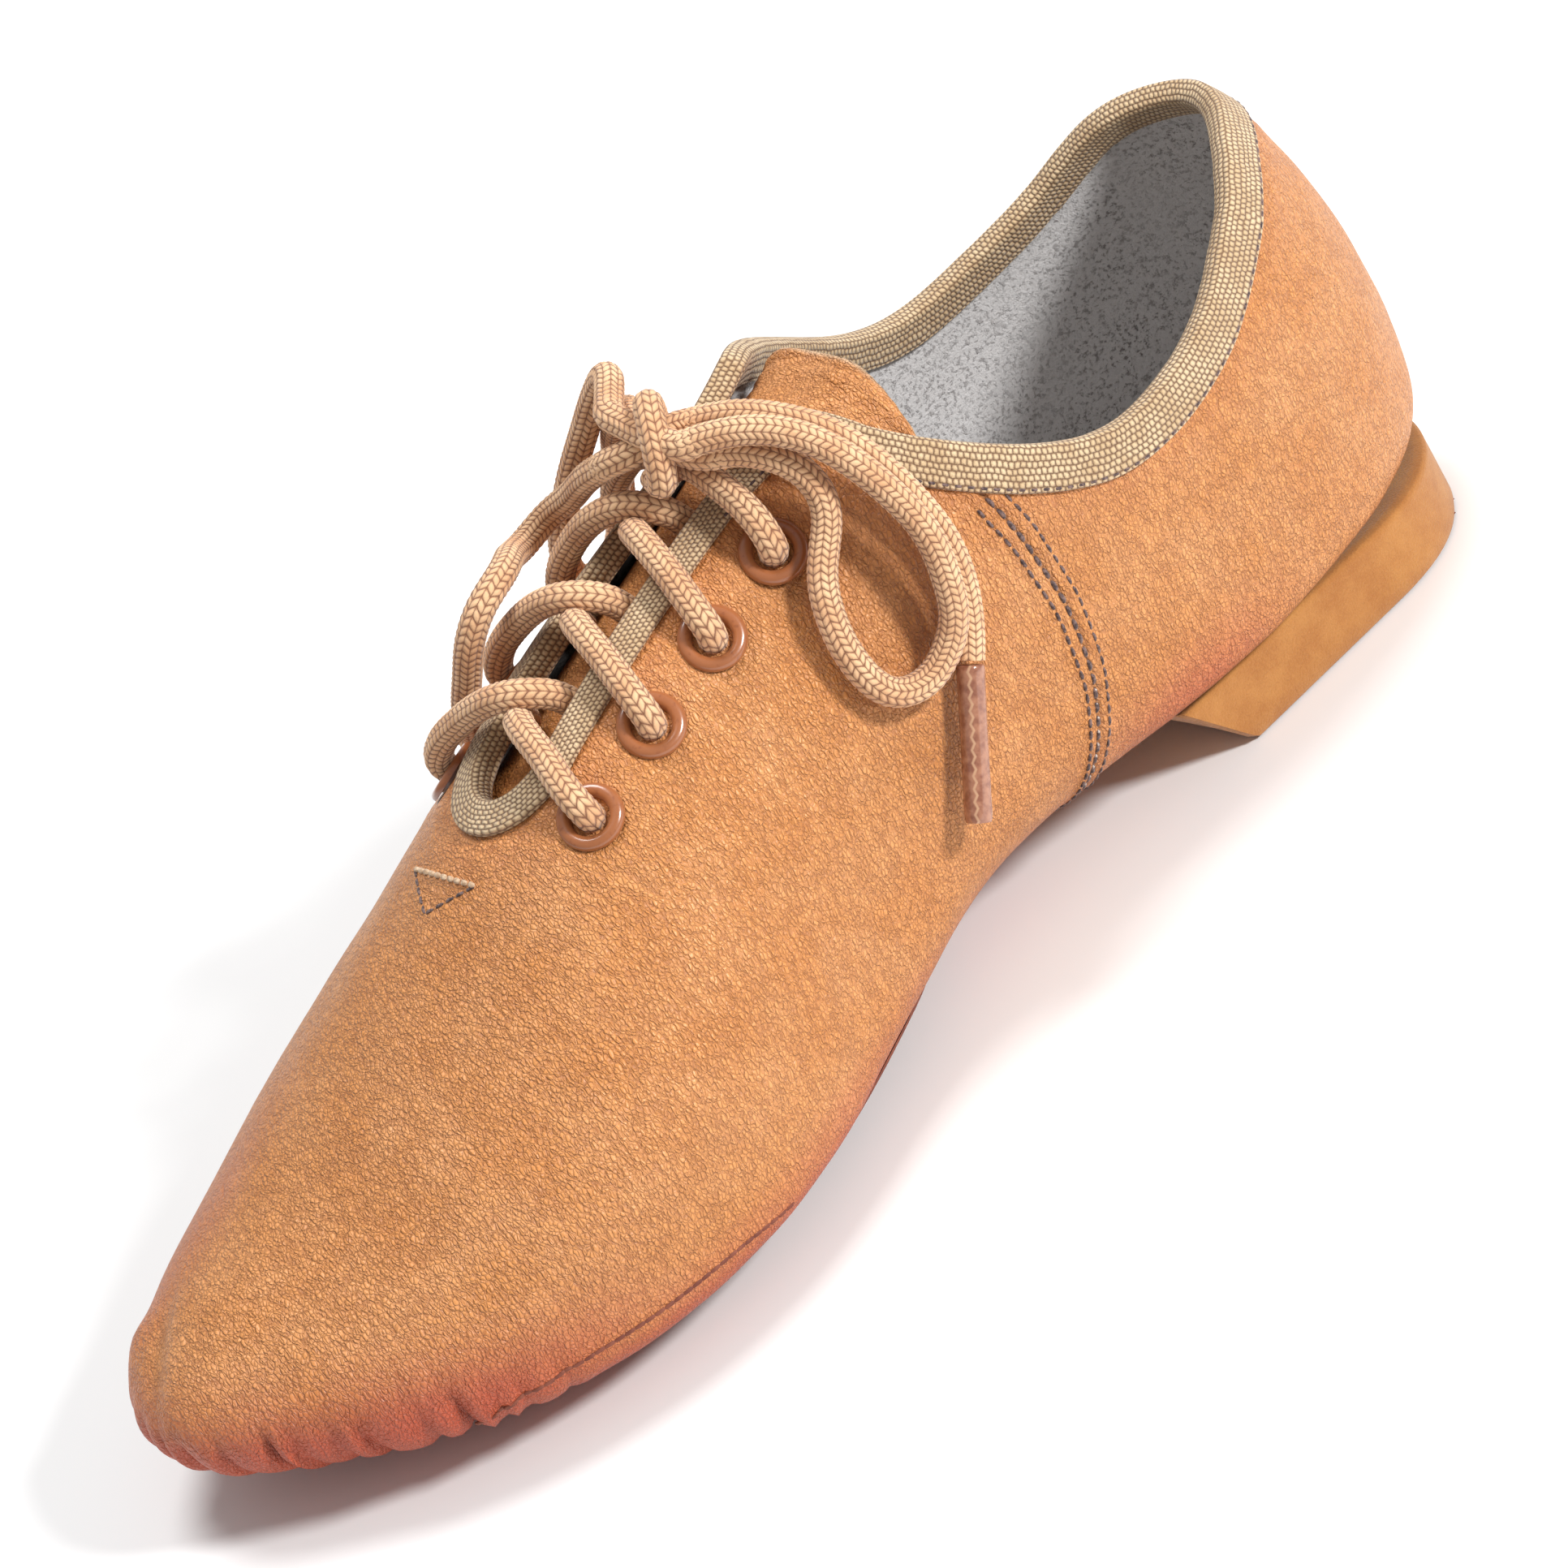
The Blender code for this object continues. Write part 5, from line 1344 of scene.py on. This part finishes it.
def stitches(name, rows, material, ground, length=0.43):
    """Beads of thread along rows of (route, pitch, height over the ground, thickness)."""
    bead = np.array(BEAD)
    turn = 2 * math.pi * np.arange(BEAD_SIDES) / BEAD_SIDES
    points, faces = [], []
    for route, pitch, lift, thick in rows:
        line = even_steps(route, pitch)[0]
        for start, end in zip(line[:-1], line[1:]):
            spot, normal = ground.find_nearest(Vector((start + end) / 2))[:2]
            if normal.dot(spot - SHOE_MIDDLE) < 0:
                normal = -normal
            ahead = np.array(Vector(end - start).normalized())
            normal = np.array(normal)
            side = np.cross(ahead, normal)
            middle = np.array(spot) + normal * lift
            base = BEAD_SIDES * len(bead) * len(points)
            arch = middle + bead[:, :1] * ahead * pitch * length - normal * bead[:, :1] ** 2 * thick * 0.5
            ring = np.cos(turn)[:, None] * side + np.sin(turn)[:, None] * normal * 0.8
            points.append(arch[:, None] + ring[None] * bead[:, 1][:, None, None] * thick / 2)
            faces += (grid_faces(len(bead), BEAD_SIDES, close_columns=True) + base).tolist()
            far_end = base + BEAD_SIDES * (len(bead) - 1)
            faces += [[base + k for k in range(BEAD_SIDES)][::-1], [far_end + k for k in range(BEAD_SIDES)]]
    print(name, len(points), "stitches")
    return make_piece(name, np.array(points), faces, material)


def seam_route(side, offset, low, high, count=120):
    """A line beside the side seam, through half-section angles given in degrees."""
    angles = np.radians(np.linspace(low, high, count))
    along = np.full(count, seam_along(FOOT_AXIS_HEIGHT) + offset)
    for _ in range(6):
        points = last.point(last.place(side, along), angles)
        along = seam_along(points[:, 2]) + offset * np.interp(points[:, 2], *SEAM_TURN)
    return to_frame(points)


def seam_top(side):
    """The angle in degrees where the seam reaches the tape."""
    edge = last.edge_angle(last.place(side, seam_along(SEAM_TOP_HEIGHT)))
    return math.degrees(float(edge)) - SEAM_TOP_BACK


violet_thread = thread_finish("violet_thread", (0.045, 0.024, 0.024), (0.20, 0.125, 0.110))
beige_thread = thread_finish("beige_thread", (0.42, 0.27, 0.16), (0.66, 0.50, 0.34))
pale_thread = thread_finish("pale_thread", (0.42, 0.34, 0.30), (0.62, 0.55, 0.50))
both_rows = [(side, offset) for side in (0, 1) for offset in (-STITCH_ROW, STITCH_ROW)]
side_rows = [(seam_route(side, offset, -58, seam_top(side)), *SIDE_STITCH) for side, offset in both_rows]
side_rows += [(seam_route(side, 0.15 * MM, -58, seam_top(side)), *TIE_STITCH) for side in (0, 1)]
stitches("side_seam_thread", side_rows, violet_thread, hide)
pale_rows = [(route[2:], pitch, 0.24 * MM, 0.40 * MM) for route, pitch, _, _ in side_rows[-2:]]
stitches("side_seam_ties", pale_rows, pale_thread, hide, length=0.16)
arch_rows = [(seam_route(side, offset, -90, -60, 40), *ARCH_STITCH) for side, offset in both_rows]
for aside in (-STITCH_ROW, STITCH_ROW):
    for start, end in ((ARCH_BACK, 95 * MM), (102 * MM, ARCH_FRONT)):
        along = np.linspace(start, end, 40)
        spine = last.spine(along)
        keel = np.column_stack([along, spine[:, 0] + aside, spine[:, 1]])
        arch_rows.append((to_frame(keel), *ARCH_STITCH))
stitches("arch_seam_thread", arch_rows, beige_thread, hide)

# %% [markdown]
# ## The woven tape
#
# A cotton tape is folded over the cut edge of the throat and the collar and sewn down near its lower edge. It
# could be a curve with a bevel profile, which twists where the edge turns up to the instep. Here a drawn section
# is seated on the leather at every step along the edge.

# %% Tape
TAPE_NEAR = 0.1 * MM
TAPE_FAR = 1.1 * MM
TAPE_LIP = 0.55 * MM
TAPE_WAVER = 0.10 * MM
TAPE_WAVER_SIZE = 0.006
TAPE_SEWN_SHARE = 0.36


def tape_finish():
    finish = Finish("beige_tape", Roughness=0.9, Sheen_Weight=0.25, Sheen_Roughness=0.5)
    along, across = finish.pattern()
    where = finish.place()
    row = across / 0.95 + finish.noise(where, 2.5) * 0.8
    stagger = (row.maths("FLOOR") * 0.5).maths("FRACT")
    strand = (along / 0.86 + across * 0.12 + stagger + finish.noise(where, 1.8) * 0.6).maths("FRACT")
    bump = (strand * math.pi).maths("SINE") ** 0.8 * (row.maths("FRACT") * math.pi).maths("SINE") ** 0.7
    thread = finish.noise(where, 0.22, 2.0)
    # The gaps of the weave go dark: this is painted shade.
    lit = (bump * 0.9 + thread * 0.6 - 0.3).between(0.0, 0.8)
    patch = finish.noise(where, 4.0).between(0.35, 0.65)
    light = patch.blend((0.60, 0.42, 0.235), (0.72, 0.54, 0.33))
    finish.set("Base Color", lit.blend((0.20, 0.105, 0.050), light))
    finish.raise_surface(bump * 0.8 + thread * 0.4, 0.28)
    return finish.material


def tape_profile(width):
    """(depth into the leather, height over it) round the folded tape, from its outer free edge."""
    inner_near, inner_far = -WALL - 2 * TAPE_NEAR, -WALL - TAPE_NEAR - TAPE_FAR
    outer = [(width, TAPE_NEAR), (width + 0.05 * MM, 0.5 * MM), (width - 0.12 * MM, 0.93 * MM)]
    outer += [(width * share - 0.4 * MM, TAPE_FAR) for share in (1.0, 0.85, 0.7, 0.55, 0.4, 0.25)]
    middle, reach = (TAPE_FAR + inner_far) / 2, (TAPE_FAR - inner_far) / 2
    turn = np.radians(np.linspace(82, -82, 11))
    fold = [(-1.0 * MM * math.cos(t) ** 0.8, middle + reach * math.sin(t)) for t in turn]
    inside = [(width * share, inner_far) for share in (0.15, 0.4, 0.65)]
    inside += [(0.8 * width, inner_far + 0.3 * MM), (0.8 * width, inner_near), (-TAPE_NEAR, inner_near)]
    return outer + fold + inside + [(-TAPE_NEAR, TAPE_NEAR)]


def make_tape():
    path, inside = rim_path[:-1], rim_inside[:-1]
    sections, sewn = [], []
    for k, spot in enumerate(path):
        ahead = Vector(path[(k + 1) % len(path)] - path[k - 1]).normalized()
        fold, normal = skin.find_nearest(Vector(spot))[:2]
        into = normal.cross(ahead).normalized()
        if into.dot(Vector(inside[k] - spot)) < 0:
            into = -into
        width = np.interp(
            HEEL_MIDDLE - spot[0], (SEAM_ALONG, THROAT_TOP + 2 * THROAT_ROUND),
            (COLLAR_BINDING_WIDTH, THROAT_BINDING_WIDTH),
        )
        uneven = TAPE_WAVER * noise.noise(Vector(spot) / TAPE_WAVER_SIZE)
        section = []
        for depth, offset in tape_profile(width + uneven):
            if depth > 0:
                section.append(seat(fold + into * depth, offset))
            else:
                section.append(fold + into * depth + normal * offset)
        sections.append(section)
        sewn.append(seat(fold + into * (width - TAPE_LIP), 0))
    points = np.array(sections)
    count, around = points.shape[:2]
    faces = grid_faces(count, around, close_rows=True, close_columns=True)
    across = np.linalg.norm(np.diff(points[count // 2], axis=0, append=points[count // 2][:1]), axis=1)
    across = np.concatenate([[0], np.cumsum(across)]) / MM
    step = route_length(path) / len(path) / MM
    u = np.arange(count)[:, None, None] * step + np.array([0, 0, step, step])
    v = np.stack([across[:-1], across[1:], across[1:], across[:-1]], -1)[None]
    uv = np.stack(np.broadcast_arrays(u, v), -1).reshape(-1, 2)
    make_piece("edge_tape", points, faces, tape_finish(), ["top_binding"], uv=uv)
    return np.array(sewn + sewn[:1])


sewn_line = make_tape()
sewn_collar = sewn_line[np.abs(np.arange(len(sewn_line)) / len(sewn_line) - 0.5) < TAPE_SEWN_SHARE]
tape_rows = [(sewn_collar, 1.9 * MM, TAPE_FAR - 0.05 * MM, 0.48 * MM)]
stitches("tape_thread", tape_rows, violet_thread, skin)

# %% Stitched triangle below the throat
TACK = ((175.1, 10.6, 56.7), (174.7, -4.9, 57.8), (180.2, 3.1, 55.0))
corners = to_frame(np.array(TACK) * MM)
upper_side, *lower_sides = (np.linspace(corners[k], corners[(k + 1) % 3], 30) for k in range(3))
tack_beads = [(upper_side, 1.5 * MM, 0.25 * MM, 0.85 * MM)]
tack_rows = [(line, 2.0 * MM, 0.12 * MM, 0.50 * MM) for line in lower_sides]
stitches("throat_tack_beads", tack_beads, beige_thread, hide)
stitches("throat_tack_thread", tack_rows, violet_thread, hide)

# %% [markdown]
# ## The tongue and the insole
#
# The tongue is a strip of the same leather, cut almost square at the top with its pale raw edge showing. The
# insole is grey suede and lies on the turned-in margin. Both follow the last, so they are drawn as sections a set
# depth below it. A flat sheet bent with a modifier would need hand fitting at the throat.

# %% Tongue
TONGUE_END = TONGUE_BACK - 1 * MM
TONGUE_WIDTH = 1.04
TONGUE_NARROW = 0.72
TONGUE_TIP = 0.06
TONGUE_SQUARE = 0.5
TONGUE_LIFT = 1.4 * MM
TONGUE_FLATTEN = 6.5 * MM
TONGUE_FLATTEN_WIDTH = 13 * MM
TONGUE_WAVE = 0.30 * MM
TONGUE_WAVE_SIZE = 0.019
TONGUE_FRILL = 0.20 * MM
TONGUE_ROUND_OFF = 0.45 * MM


def ring_stack(sections):
    """Points and faces of a closed body through closed rings, with flat ends."""
    sections = np.asarray(sections, float)
    count, around = sections.shape[:2]
    faces = grid_faces(count, around, close_columns=True).tolist()
    faces += [list(range(around))[::-1], [(count - 1) * around + k for k in range(around)]]
    return sections.reshape(-1, 3), faces


sections, raw = [], []
turn = np.linspace(0, 0.49 * math.pi, 22)
shares = [(x, 0) for x in np.linspace(0, 1 - TONGUE_TIP, 60)]
shares += [(1 - TONGUE_TIP * (1 - math.sin(t) ** TONGUE_SQUARE), t) for t in turn[1:]]
for share, bend in shares:
    along = TONGUE_FRONT + (TONGUE_END - TONGUE_FRONT) * share
    widening = TONGUE_NARROW + (1 - TONGUE_NARROW) * min(share / 0.6, 1)
    half = TONGUE_HALF_WIDTH * TONGUE_WIDTH * widening * math.cos(bend) ** TONGUE_SQUARE
    depths = WALL + TONGUE_DROP, WALL + TONGUE_SEAM_GAP
    sink = np.interp(along, (THROAT_BOTTOM - THROAT_ROUND, TONGUE_FRONT), depths)
    sink = sink - TONGUE_LIFT * smooth_step(0.45, 0.8, share)
    tip = smooth_step(0.80, 1.0, share)
    top, under, marks = [], [], []
    for reach in np.sin(np.linspace(-math.pi / 2, math.pi / 2, 44)):
        y = reach * half + float(last.spine(along)[0])
        spot, normal = topside(to_frame((along, y, 0))[0], y)
        edge = min((1 - abs(reach)) * half, (1 - share) * (TONGUE_FRONT - TONGUE_BACK)) / MM
        soft = TONGUE_WAVE * noise.noise(spot / TONGUE_WAVE_SIZE)
        soft = soft + TONGUE_FRILL * tip * math.sin(share * 190 + 2.5 * reach)
        round_off = TONGUE_ROUND_OFF * math.exp(-edge / 0.5)
        flatten = Vector((0, 0, TONGUE_FLATTEN * tip * math.exp(-((y / TONGUE_FLATTEN_WIDTH) ** 2))))
        top.append(spot + normal * (soft - sink - round_off) - flatten)
        under.append(spot + normal * (soft - sink - TONGUE_THICKNESS + round_off) - flatten)
        marks.append(math.exp(-((edge / 0.45) ** 2)))
    sections.append(top + under[::-1])
    raw.append(marks + marks[::-1])
points, faces = ring_stack(sections)
make_piece("tongue_leather", points, faces, tan_hide, ["tongue"], {"raw": np.ravel(raw)})
print("tongue", round((TONGUE_FRONT - TONGUE_BACK) / MM), "mm long")

# %% Insole
INSOLE_LEVELS = (
    (0.03, 0.0), (0.4, 0.0), (0.8, 0.0), (0.97, 0.0), (1.0, 0.35), (1.0, 0.7), (0.985, 0.95),
    (0.96, 1.0), (0.85, 1.0), (0.7, 1.0), (0.5, 1.0), (0.3, 1.0), (0.12, 1.0), (0.006, 1.0),
)
rise = WALL + 2 * CLEARANCE
along = upper_stations(24, 3 * MM, 22, 4)
ring = np.array([last.place(0, x) for x in along] + [last.place(1, x) for x in along[::-1][1:-1]])
anchor, centre, toward, radius = last.half_section(ring)[:4]
sections = []
for share, level in INSOLE_LEVELS:
    reach = (radius * INSOLE_INSIDE_RIM * share)[:, None] * toward
    flat = to_frame(np.column_stack([anchor + reach[:, 0], centre + reach[:, 1], np.zeros(len(ring))]))
    heights = [underside(x, y, rise) + level * INSOLE_THICKNESS for x, y in flat[:, :2]]
    sections.append(np.column_stack([flat[:, :2], heights]))
points, faces = ring_stack(sections)
make_piece("insole_suede", points, faces, grey_suede, ["insole"], weld=0.01 * MM)
print("insole", round((along[0] - along[-1]) * INSOLE_INSIDE_RIM / MM), "mm long")

# %% [markdown]
# ## The front sole and the heel
#
# A split sole has a thin rubber patch under the ball and a separate low heel. Both wear a waffle tread of small
# pyramids. The pyramids could be a bump. As real small blocks they show in the outline from the side and from
# below, and each needs only six faces. The patch's own edge is tucked in under the leather, and what shows of it
# beside the ball is a dark line, laid as a row of thin beads.

# %% Rubber with its tread
TREAD_PITCH = 2.7 * MM
TREAD_DEPTH = 0.65 * MM
TREAD_FOOT, TREAD_FACE, TREAD_SUNK = 0.50, 0.24, 0.15 * MM
SOLE_PRESSED = 0.05 * MM
SOLE_THIN_FROM = 0.84
SOLE_THIN_BY = 0.85 * MM
SOLE_RIM = 0.4 * MM
SOLE_TREAD_INSET = 4.5 * MM
HEEL_SQUARE = 2.3
HEEL_CORNER = 0.6 * MM
HEEL_BREAST_SHARE = 0.965
HEEL_SIDE_STEPS = 25


def rubber_finish():
    finish = Finish("red_brown_rubber", Specular_IOR_Level=0.4)
    where = finish.place()
    grime = finish.noise(where, 3.0, 4.0, 0.65)
    fine = finish.noise(where, 0.4, 2.0)
    finish.set("Base Color", grime.between(0.35, 0.7).blend((0.16, 0.040, 0.022), (0.25, 0.075, 0.042)))
    finish.set("Roughness", 0.52 + grime * 0.25)
    finish.raise_surface(fine * 0.5 + grime * 0.5, 0.08)
    return finish.material


def sole_outline(inset, count=200):
    """The front sole's outline: an egg with its narrow end to the waist, as (x, y)."""
    turn = np.linspace(0, 2 * math.pi, count, endpoint=False)
    ahead, aside = (np.sign(wave) * np.abs(wave) ** (2 / SOLE_SQUARE) for wave in (np.cos(turn), np.sin(turn)))
    along = SOLE_MIDDLE + (SOLE_LENGTH / 2 - inset) * ahead
    across = (SOLE_WIDTH / 2 - inset) * aside * (1 + SOLE_REAR_TAPER * ahead)
    across += middle_line(along)
    for side in (0, 1):
        edge = last.rim(last.place(side, along))[:, 1] * SOLE_INSIDE_RIM
        limit = np.abs(edge) - inset
        near = -SOLE_EDGE_BLEND * np.logaddexp(-np.abs(across) / SOLE_EDGE_BLEND, -limit / SOLE_EDGE_BLEND)
        across = np.where(np.sign(across) == np.sign(edge), np.sign(edge) * near, across)
    return to_frame(np.column_stack([along, across, np.zeros(count)]))[:, :2]


def heel_outline(level, inset=0.0, count=72):
    """The heel's outline at a share of its height, from its left breast corner round the back, as (x, y)."""
    half_width = HEEL_WIDTH / 2 + HEEL_FLARE * (0.5 - level) - inset
    back = HEEL_BACK - HEEL_FLARE * (0.5 - level) + inset
    front = HEEL_FRONT - HEEL_BREAST_SLOPE * (1 - level) - inset
    middle = HEEL_BACK + half_width
    turn = np.linspace(-math.pi / 2, math.pi / 2, count)
    along = middle - (middle - back) * np.cos(turn) ** (2 / HEEL_SQUARE)
    across = half_width * np.sign(np.sin(turn)) * np.abs(np.sin(turn)) ** (2 / HEEL_SQUARE)
    sides = np.linspace(middle, front - HEEL_CORNER, HEEL_SIDE_STEPS + 1)[1:]
    breast = [(front, HEEL_BREAST_SHARE * half_width * share) for share in np.linspace(1, -1, 24)]
    outline = np.vstack([
        np.column_stack([sides[::-1], np.full(len(sides), -half_width)]), np.column_stack([along, across]),
        np.column_stack([sides, np.full(len(sides), half_width)]), breast,
    ])
    return to_frame(np.column_stack([outline, np.zeros(len(outline))]))[:, :2]


def inside_outline(x, y, outline):
    """Whether a point lies inside an outline, by counting the edges to its right."""
    ax, ay = outline[:, 0], outline[:, 1]
    bx, by = np.roll(ax, -1), np.roll(ay, -1)
    between = (ay > y) != (by > y)
    crossing = ax + (y - ay) * (bx - ax) / np.where(by == ay, 1, by - ay)
    return np.count_nonzero(between & (x < crossing)) % 2 == 1


def tread(outline, floor_at, start):
    """Points and faces of the small blocks of a tread that lies inside an outline."""
    points, faces = [], []
    low, high = outline.min(0), outline.max(0)
    for x in np.arange(low[0], high[0], TREAD_PITCH):
        for y in np.arange(low[1], high[1], TREAD_PITCH):
            if not inside_outline(x, y, outline):
                continue
            base = start + len(points)
            for share, sink in ((TREAD_FOOT, -TREAD_SUNK), (TREAD_FACE, TREAD_DEPTH)):
                for a, b in ((-1, -1), (1, -1), (1, 1), (-1, 1)):
                    px, py = x + a * share * TREAD_PITCH, y + b * share * TREAD_PITCH
                    points.append((px, py, floor_at(px, py) + TREAD_DEPTH - sink))
            faces += [[base + k, base + (k + 1) % 4, base + 4 + (k + 1) % 4, base + 4 + k] for k in range(4)]
            faces += [[base + 3, base + 2, base + 1, base], [base + 4, base + 5, base + 6, base + 7]]
    return points, faces


def sole_floor(x, y, thickness=SOLE_THICKNESS):
    """Height above the floor of a surface that far below the top of the rubber."""
    return max(underside(x, y, -SOLE_PRESSED) - thickness, 0.0)


def sole_ring(ring, thickness):
    """A ring of the patch's lower face, no lower than the foot of its tread."""
    return [(x, y, max(sole_floor(x, y, thickness), TREAD_DEPTH)) for x, y in ring]


rubber = rubber_finish()
outline = sole_outline(0)
middle = outline.mean(axis=0)
top, bottom = [], []
for share in (0.04, 0.3, 0.6, 0.8, 0.9, 0.96, 0.99):
    ring = middle + (outline - middle) * share
    top.append([(x, y, underside(x, y, -SOLE_PRESSED)) for x, y in ring])
    thin = SOLE_THICKNESS - TREAD_DEPTH - SOLE_THIN_BY * smooth_step(SOLE_THIN_FROM, 1.0, share)
    bottom.append(sole_ring(ring, thin))
rim = [(x, y, underside(x, y, -SOLE_PRESSED)) for x, y in outline]
points, faces = ring_stack(top + [rim, sole_ring(outline, SOLE_RIM)] + bottom[::-1])
blocks = tread(sole_outline(SOLE_TREAD_INSET), sole_floor, len(points))
make_piece("sole_patch", np.vstack([points, blocks[0]]), faces + blocks[1], rubber, ["sole_front"])
print("tread blocks under the front sole:", len(blocks[0]) // 8)

# %% The dark line of the sole's edge
EDGE_LINE = (
    (224, -30.0, 10.5), (218, -35.4, 12.0), (212, -38.3, 12.5), (198, -42.8, 12.4), (184, -44.4, 11.9),
    (174, -43.5, 10.4),
)
EDGE_BEAD = (1.6 * MM, -0.06 * MM, 0.75 * MM)
edge_route = smooth_route(to_frame(np.array(EDGE_LINE) * MM), 1 * MM)
stitches("sole_edge_line", [(edge_route, *EDGE_BEAD)], rubber, hide, length=0.8)

# %% Covered heel


def suede_finish():
    finish = Finish("golden_suede", Roughness=0.92, Sheen_Weight=0.35, Sheen_Roughness=0.45)
    where = finish.place()
    nap = finish.noise(where, 0.35, 3.0, 0.65)
    brushed = finish.noise(where, 5.0, 3.0, 0.6)
    tone = (nap * 0.5 + brushed * 0.7).between(0.3, 0.9)
    finish.set("Base Color", tone.blend((0.37, 0.135, 0.027), (0.50, 0.220, 0.056)))
    finish.raise_surface(nap, 0.14)
    return finish.material


HEEL_COVER_END = 0.5 * MM
HEEL_COVER_UNDER = TREAD_DEPTH + 0.3 * MM
HEEL_TREAD_INSET = 2.0 * MM
HEEL_LIFT_RINGS = (
    (HEEL_LIFT_THICKNESS, 0.6 * MM), (TREAD_DEPTH + 0.2 * MM, 0.5 * MM), (TREAD_DEPTH, 0.7 * MM),
)
top_outline = heel_outline(1.0)
middle = top_outline.mean(axis=0)
sections = []
for share in (0.1, 0.5, 0.8, 0.93, 0.985):
    ring = middle + (top_outline - middle) * share
    sections.append([(x, y, min(underside(x, y) - 0.05 * MM, HEEL_HEIGHT + HEEL_CUP)) for x, y in ring])
ring_top = np.array([min(underside(x, y) - 0.1 * MM, HEEL_HEIGHT + HEEL_CUP) for x, y in top_outline])
for share in (0.97, 0.9, 0.75, 0.5, 0.25, 0.08, 0.0):
    level = HEEL_COVER_END + (ring_top - HEEL_COVER_END) * share
    flat = heel_outline(share * 0.9 + 0.05, 0.35 * MM * (1 - min(share / 0.05, 1.0)))
    sections.append(np.column_stack([flat, level]))
under = heel_outline(0.06, 1.6 * MM)
sections.append(np.column_stack([under, np.full(len(under), HEEL_COVER_UNDER)]))
points, faces = ring_stack(sections)
make_piece("heel_cover", points, faces, suede_finish(), ["heel_block"])
lift = []
for level, inset in HEEL_LIFT_RINGS:
    flat = heel_outline(level / HEEL_HEIGHT, inset)
    lift.append(np.column_stack([flat, np.full(len(flat), level)]))
points, faces = ring_stack(lift)
blocks = tread(heel_outline(0.0, HEEL_TREAD_INSET), lambda x, y: 0.0, len(points))
make_piece("heel_tread", np.vstack([points, blocks[0]]), faces + blocks[1], rubber, ["heel_lift"])
print("tread blocks under the heel:", len(blocks[0]) // 8)

# %% [markdown]
# ## The studio
#
# The photograph was taken on white, with soft light all round and a firmer light from the right. A pale floor, a
# white sky, one lamp at the right and one larger lamp overhead give the same. A picture of a real studio could
# light it too, but then its reflections would belong to another room.

# %% Floor, light and colour
FLOOR_HALF = 3
FLOOR_GREY = 0.94
SKY_STRENGTH = 0.38
LIGHTS = {"key": ((0.58, -1.28, 1.0), 0.32, 28), "above": ((0.10, 0.40, 1.7), 0.8, 20)}

floor_mesh = bpy.data.meshes.new("floor")
corners = [(x * FLOOR_HALF, y * FLOOR_HALF, 0) for x, y in ((-1, -1), (1, -1), (1, 1), (-1, 1))]
floor_mesh.from_pydata(corners, [], [(0, 1, 2, 3)])
floor = bpy.data.objects.new("floor", floor_mesh)
bpy.context.scene.collection.objects.link(floor)
floor_mesh.materials.append(Finish("pale_floor", Base_Color=(FLOOR_GREY,) * 3, Roughness=0.8).material)

world = bpy.data.worlds.new("studio")
world.use_nodes = True
sky = world.node_tree.nodes["Background"].inputs
sky["Color"].default_value = (1, 1, 1, 1)
sky["Strength"].default_value = SKY_STRENGTH
bpy.context.scene.world = world

for name, (place, size, power) in LIGHTS.items():
    light = bpy.data.lights.new(name, "AREA")
    light.shape, light.size, light.energy = "DISK", size, power
    lamp = bpy.data.objects.new(name, light)
    bpy.context.scene.collection.objects.link(lamp)
    lamp.location = place
    lamp.rotation_euler = (Vector(place) - SHOE_MIDDLE).to_track_quat("Z", "Y").to_euler()
bpy.context.scene.view_settings.view_transform = "Standard"
print("lights:", list(LIGHTS))
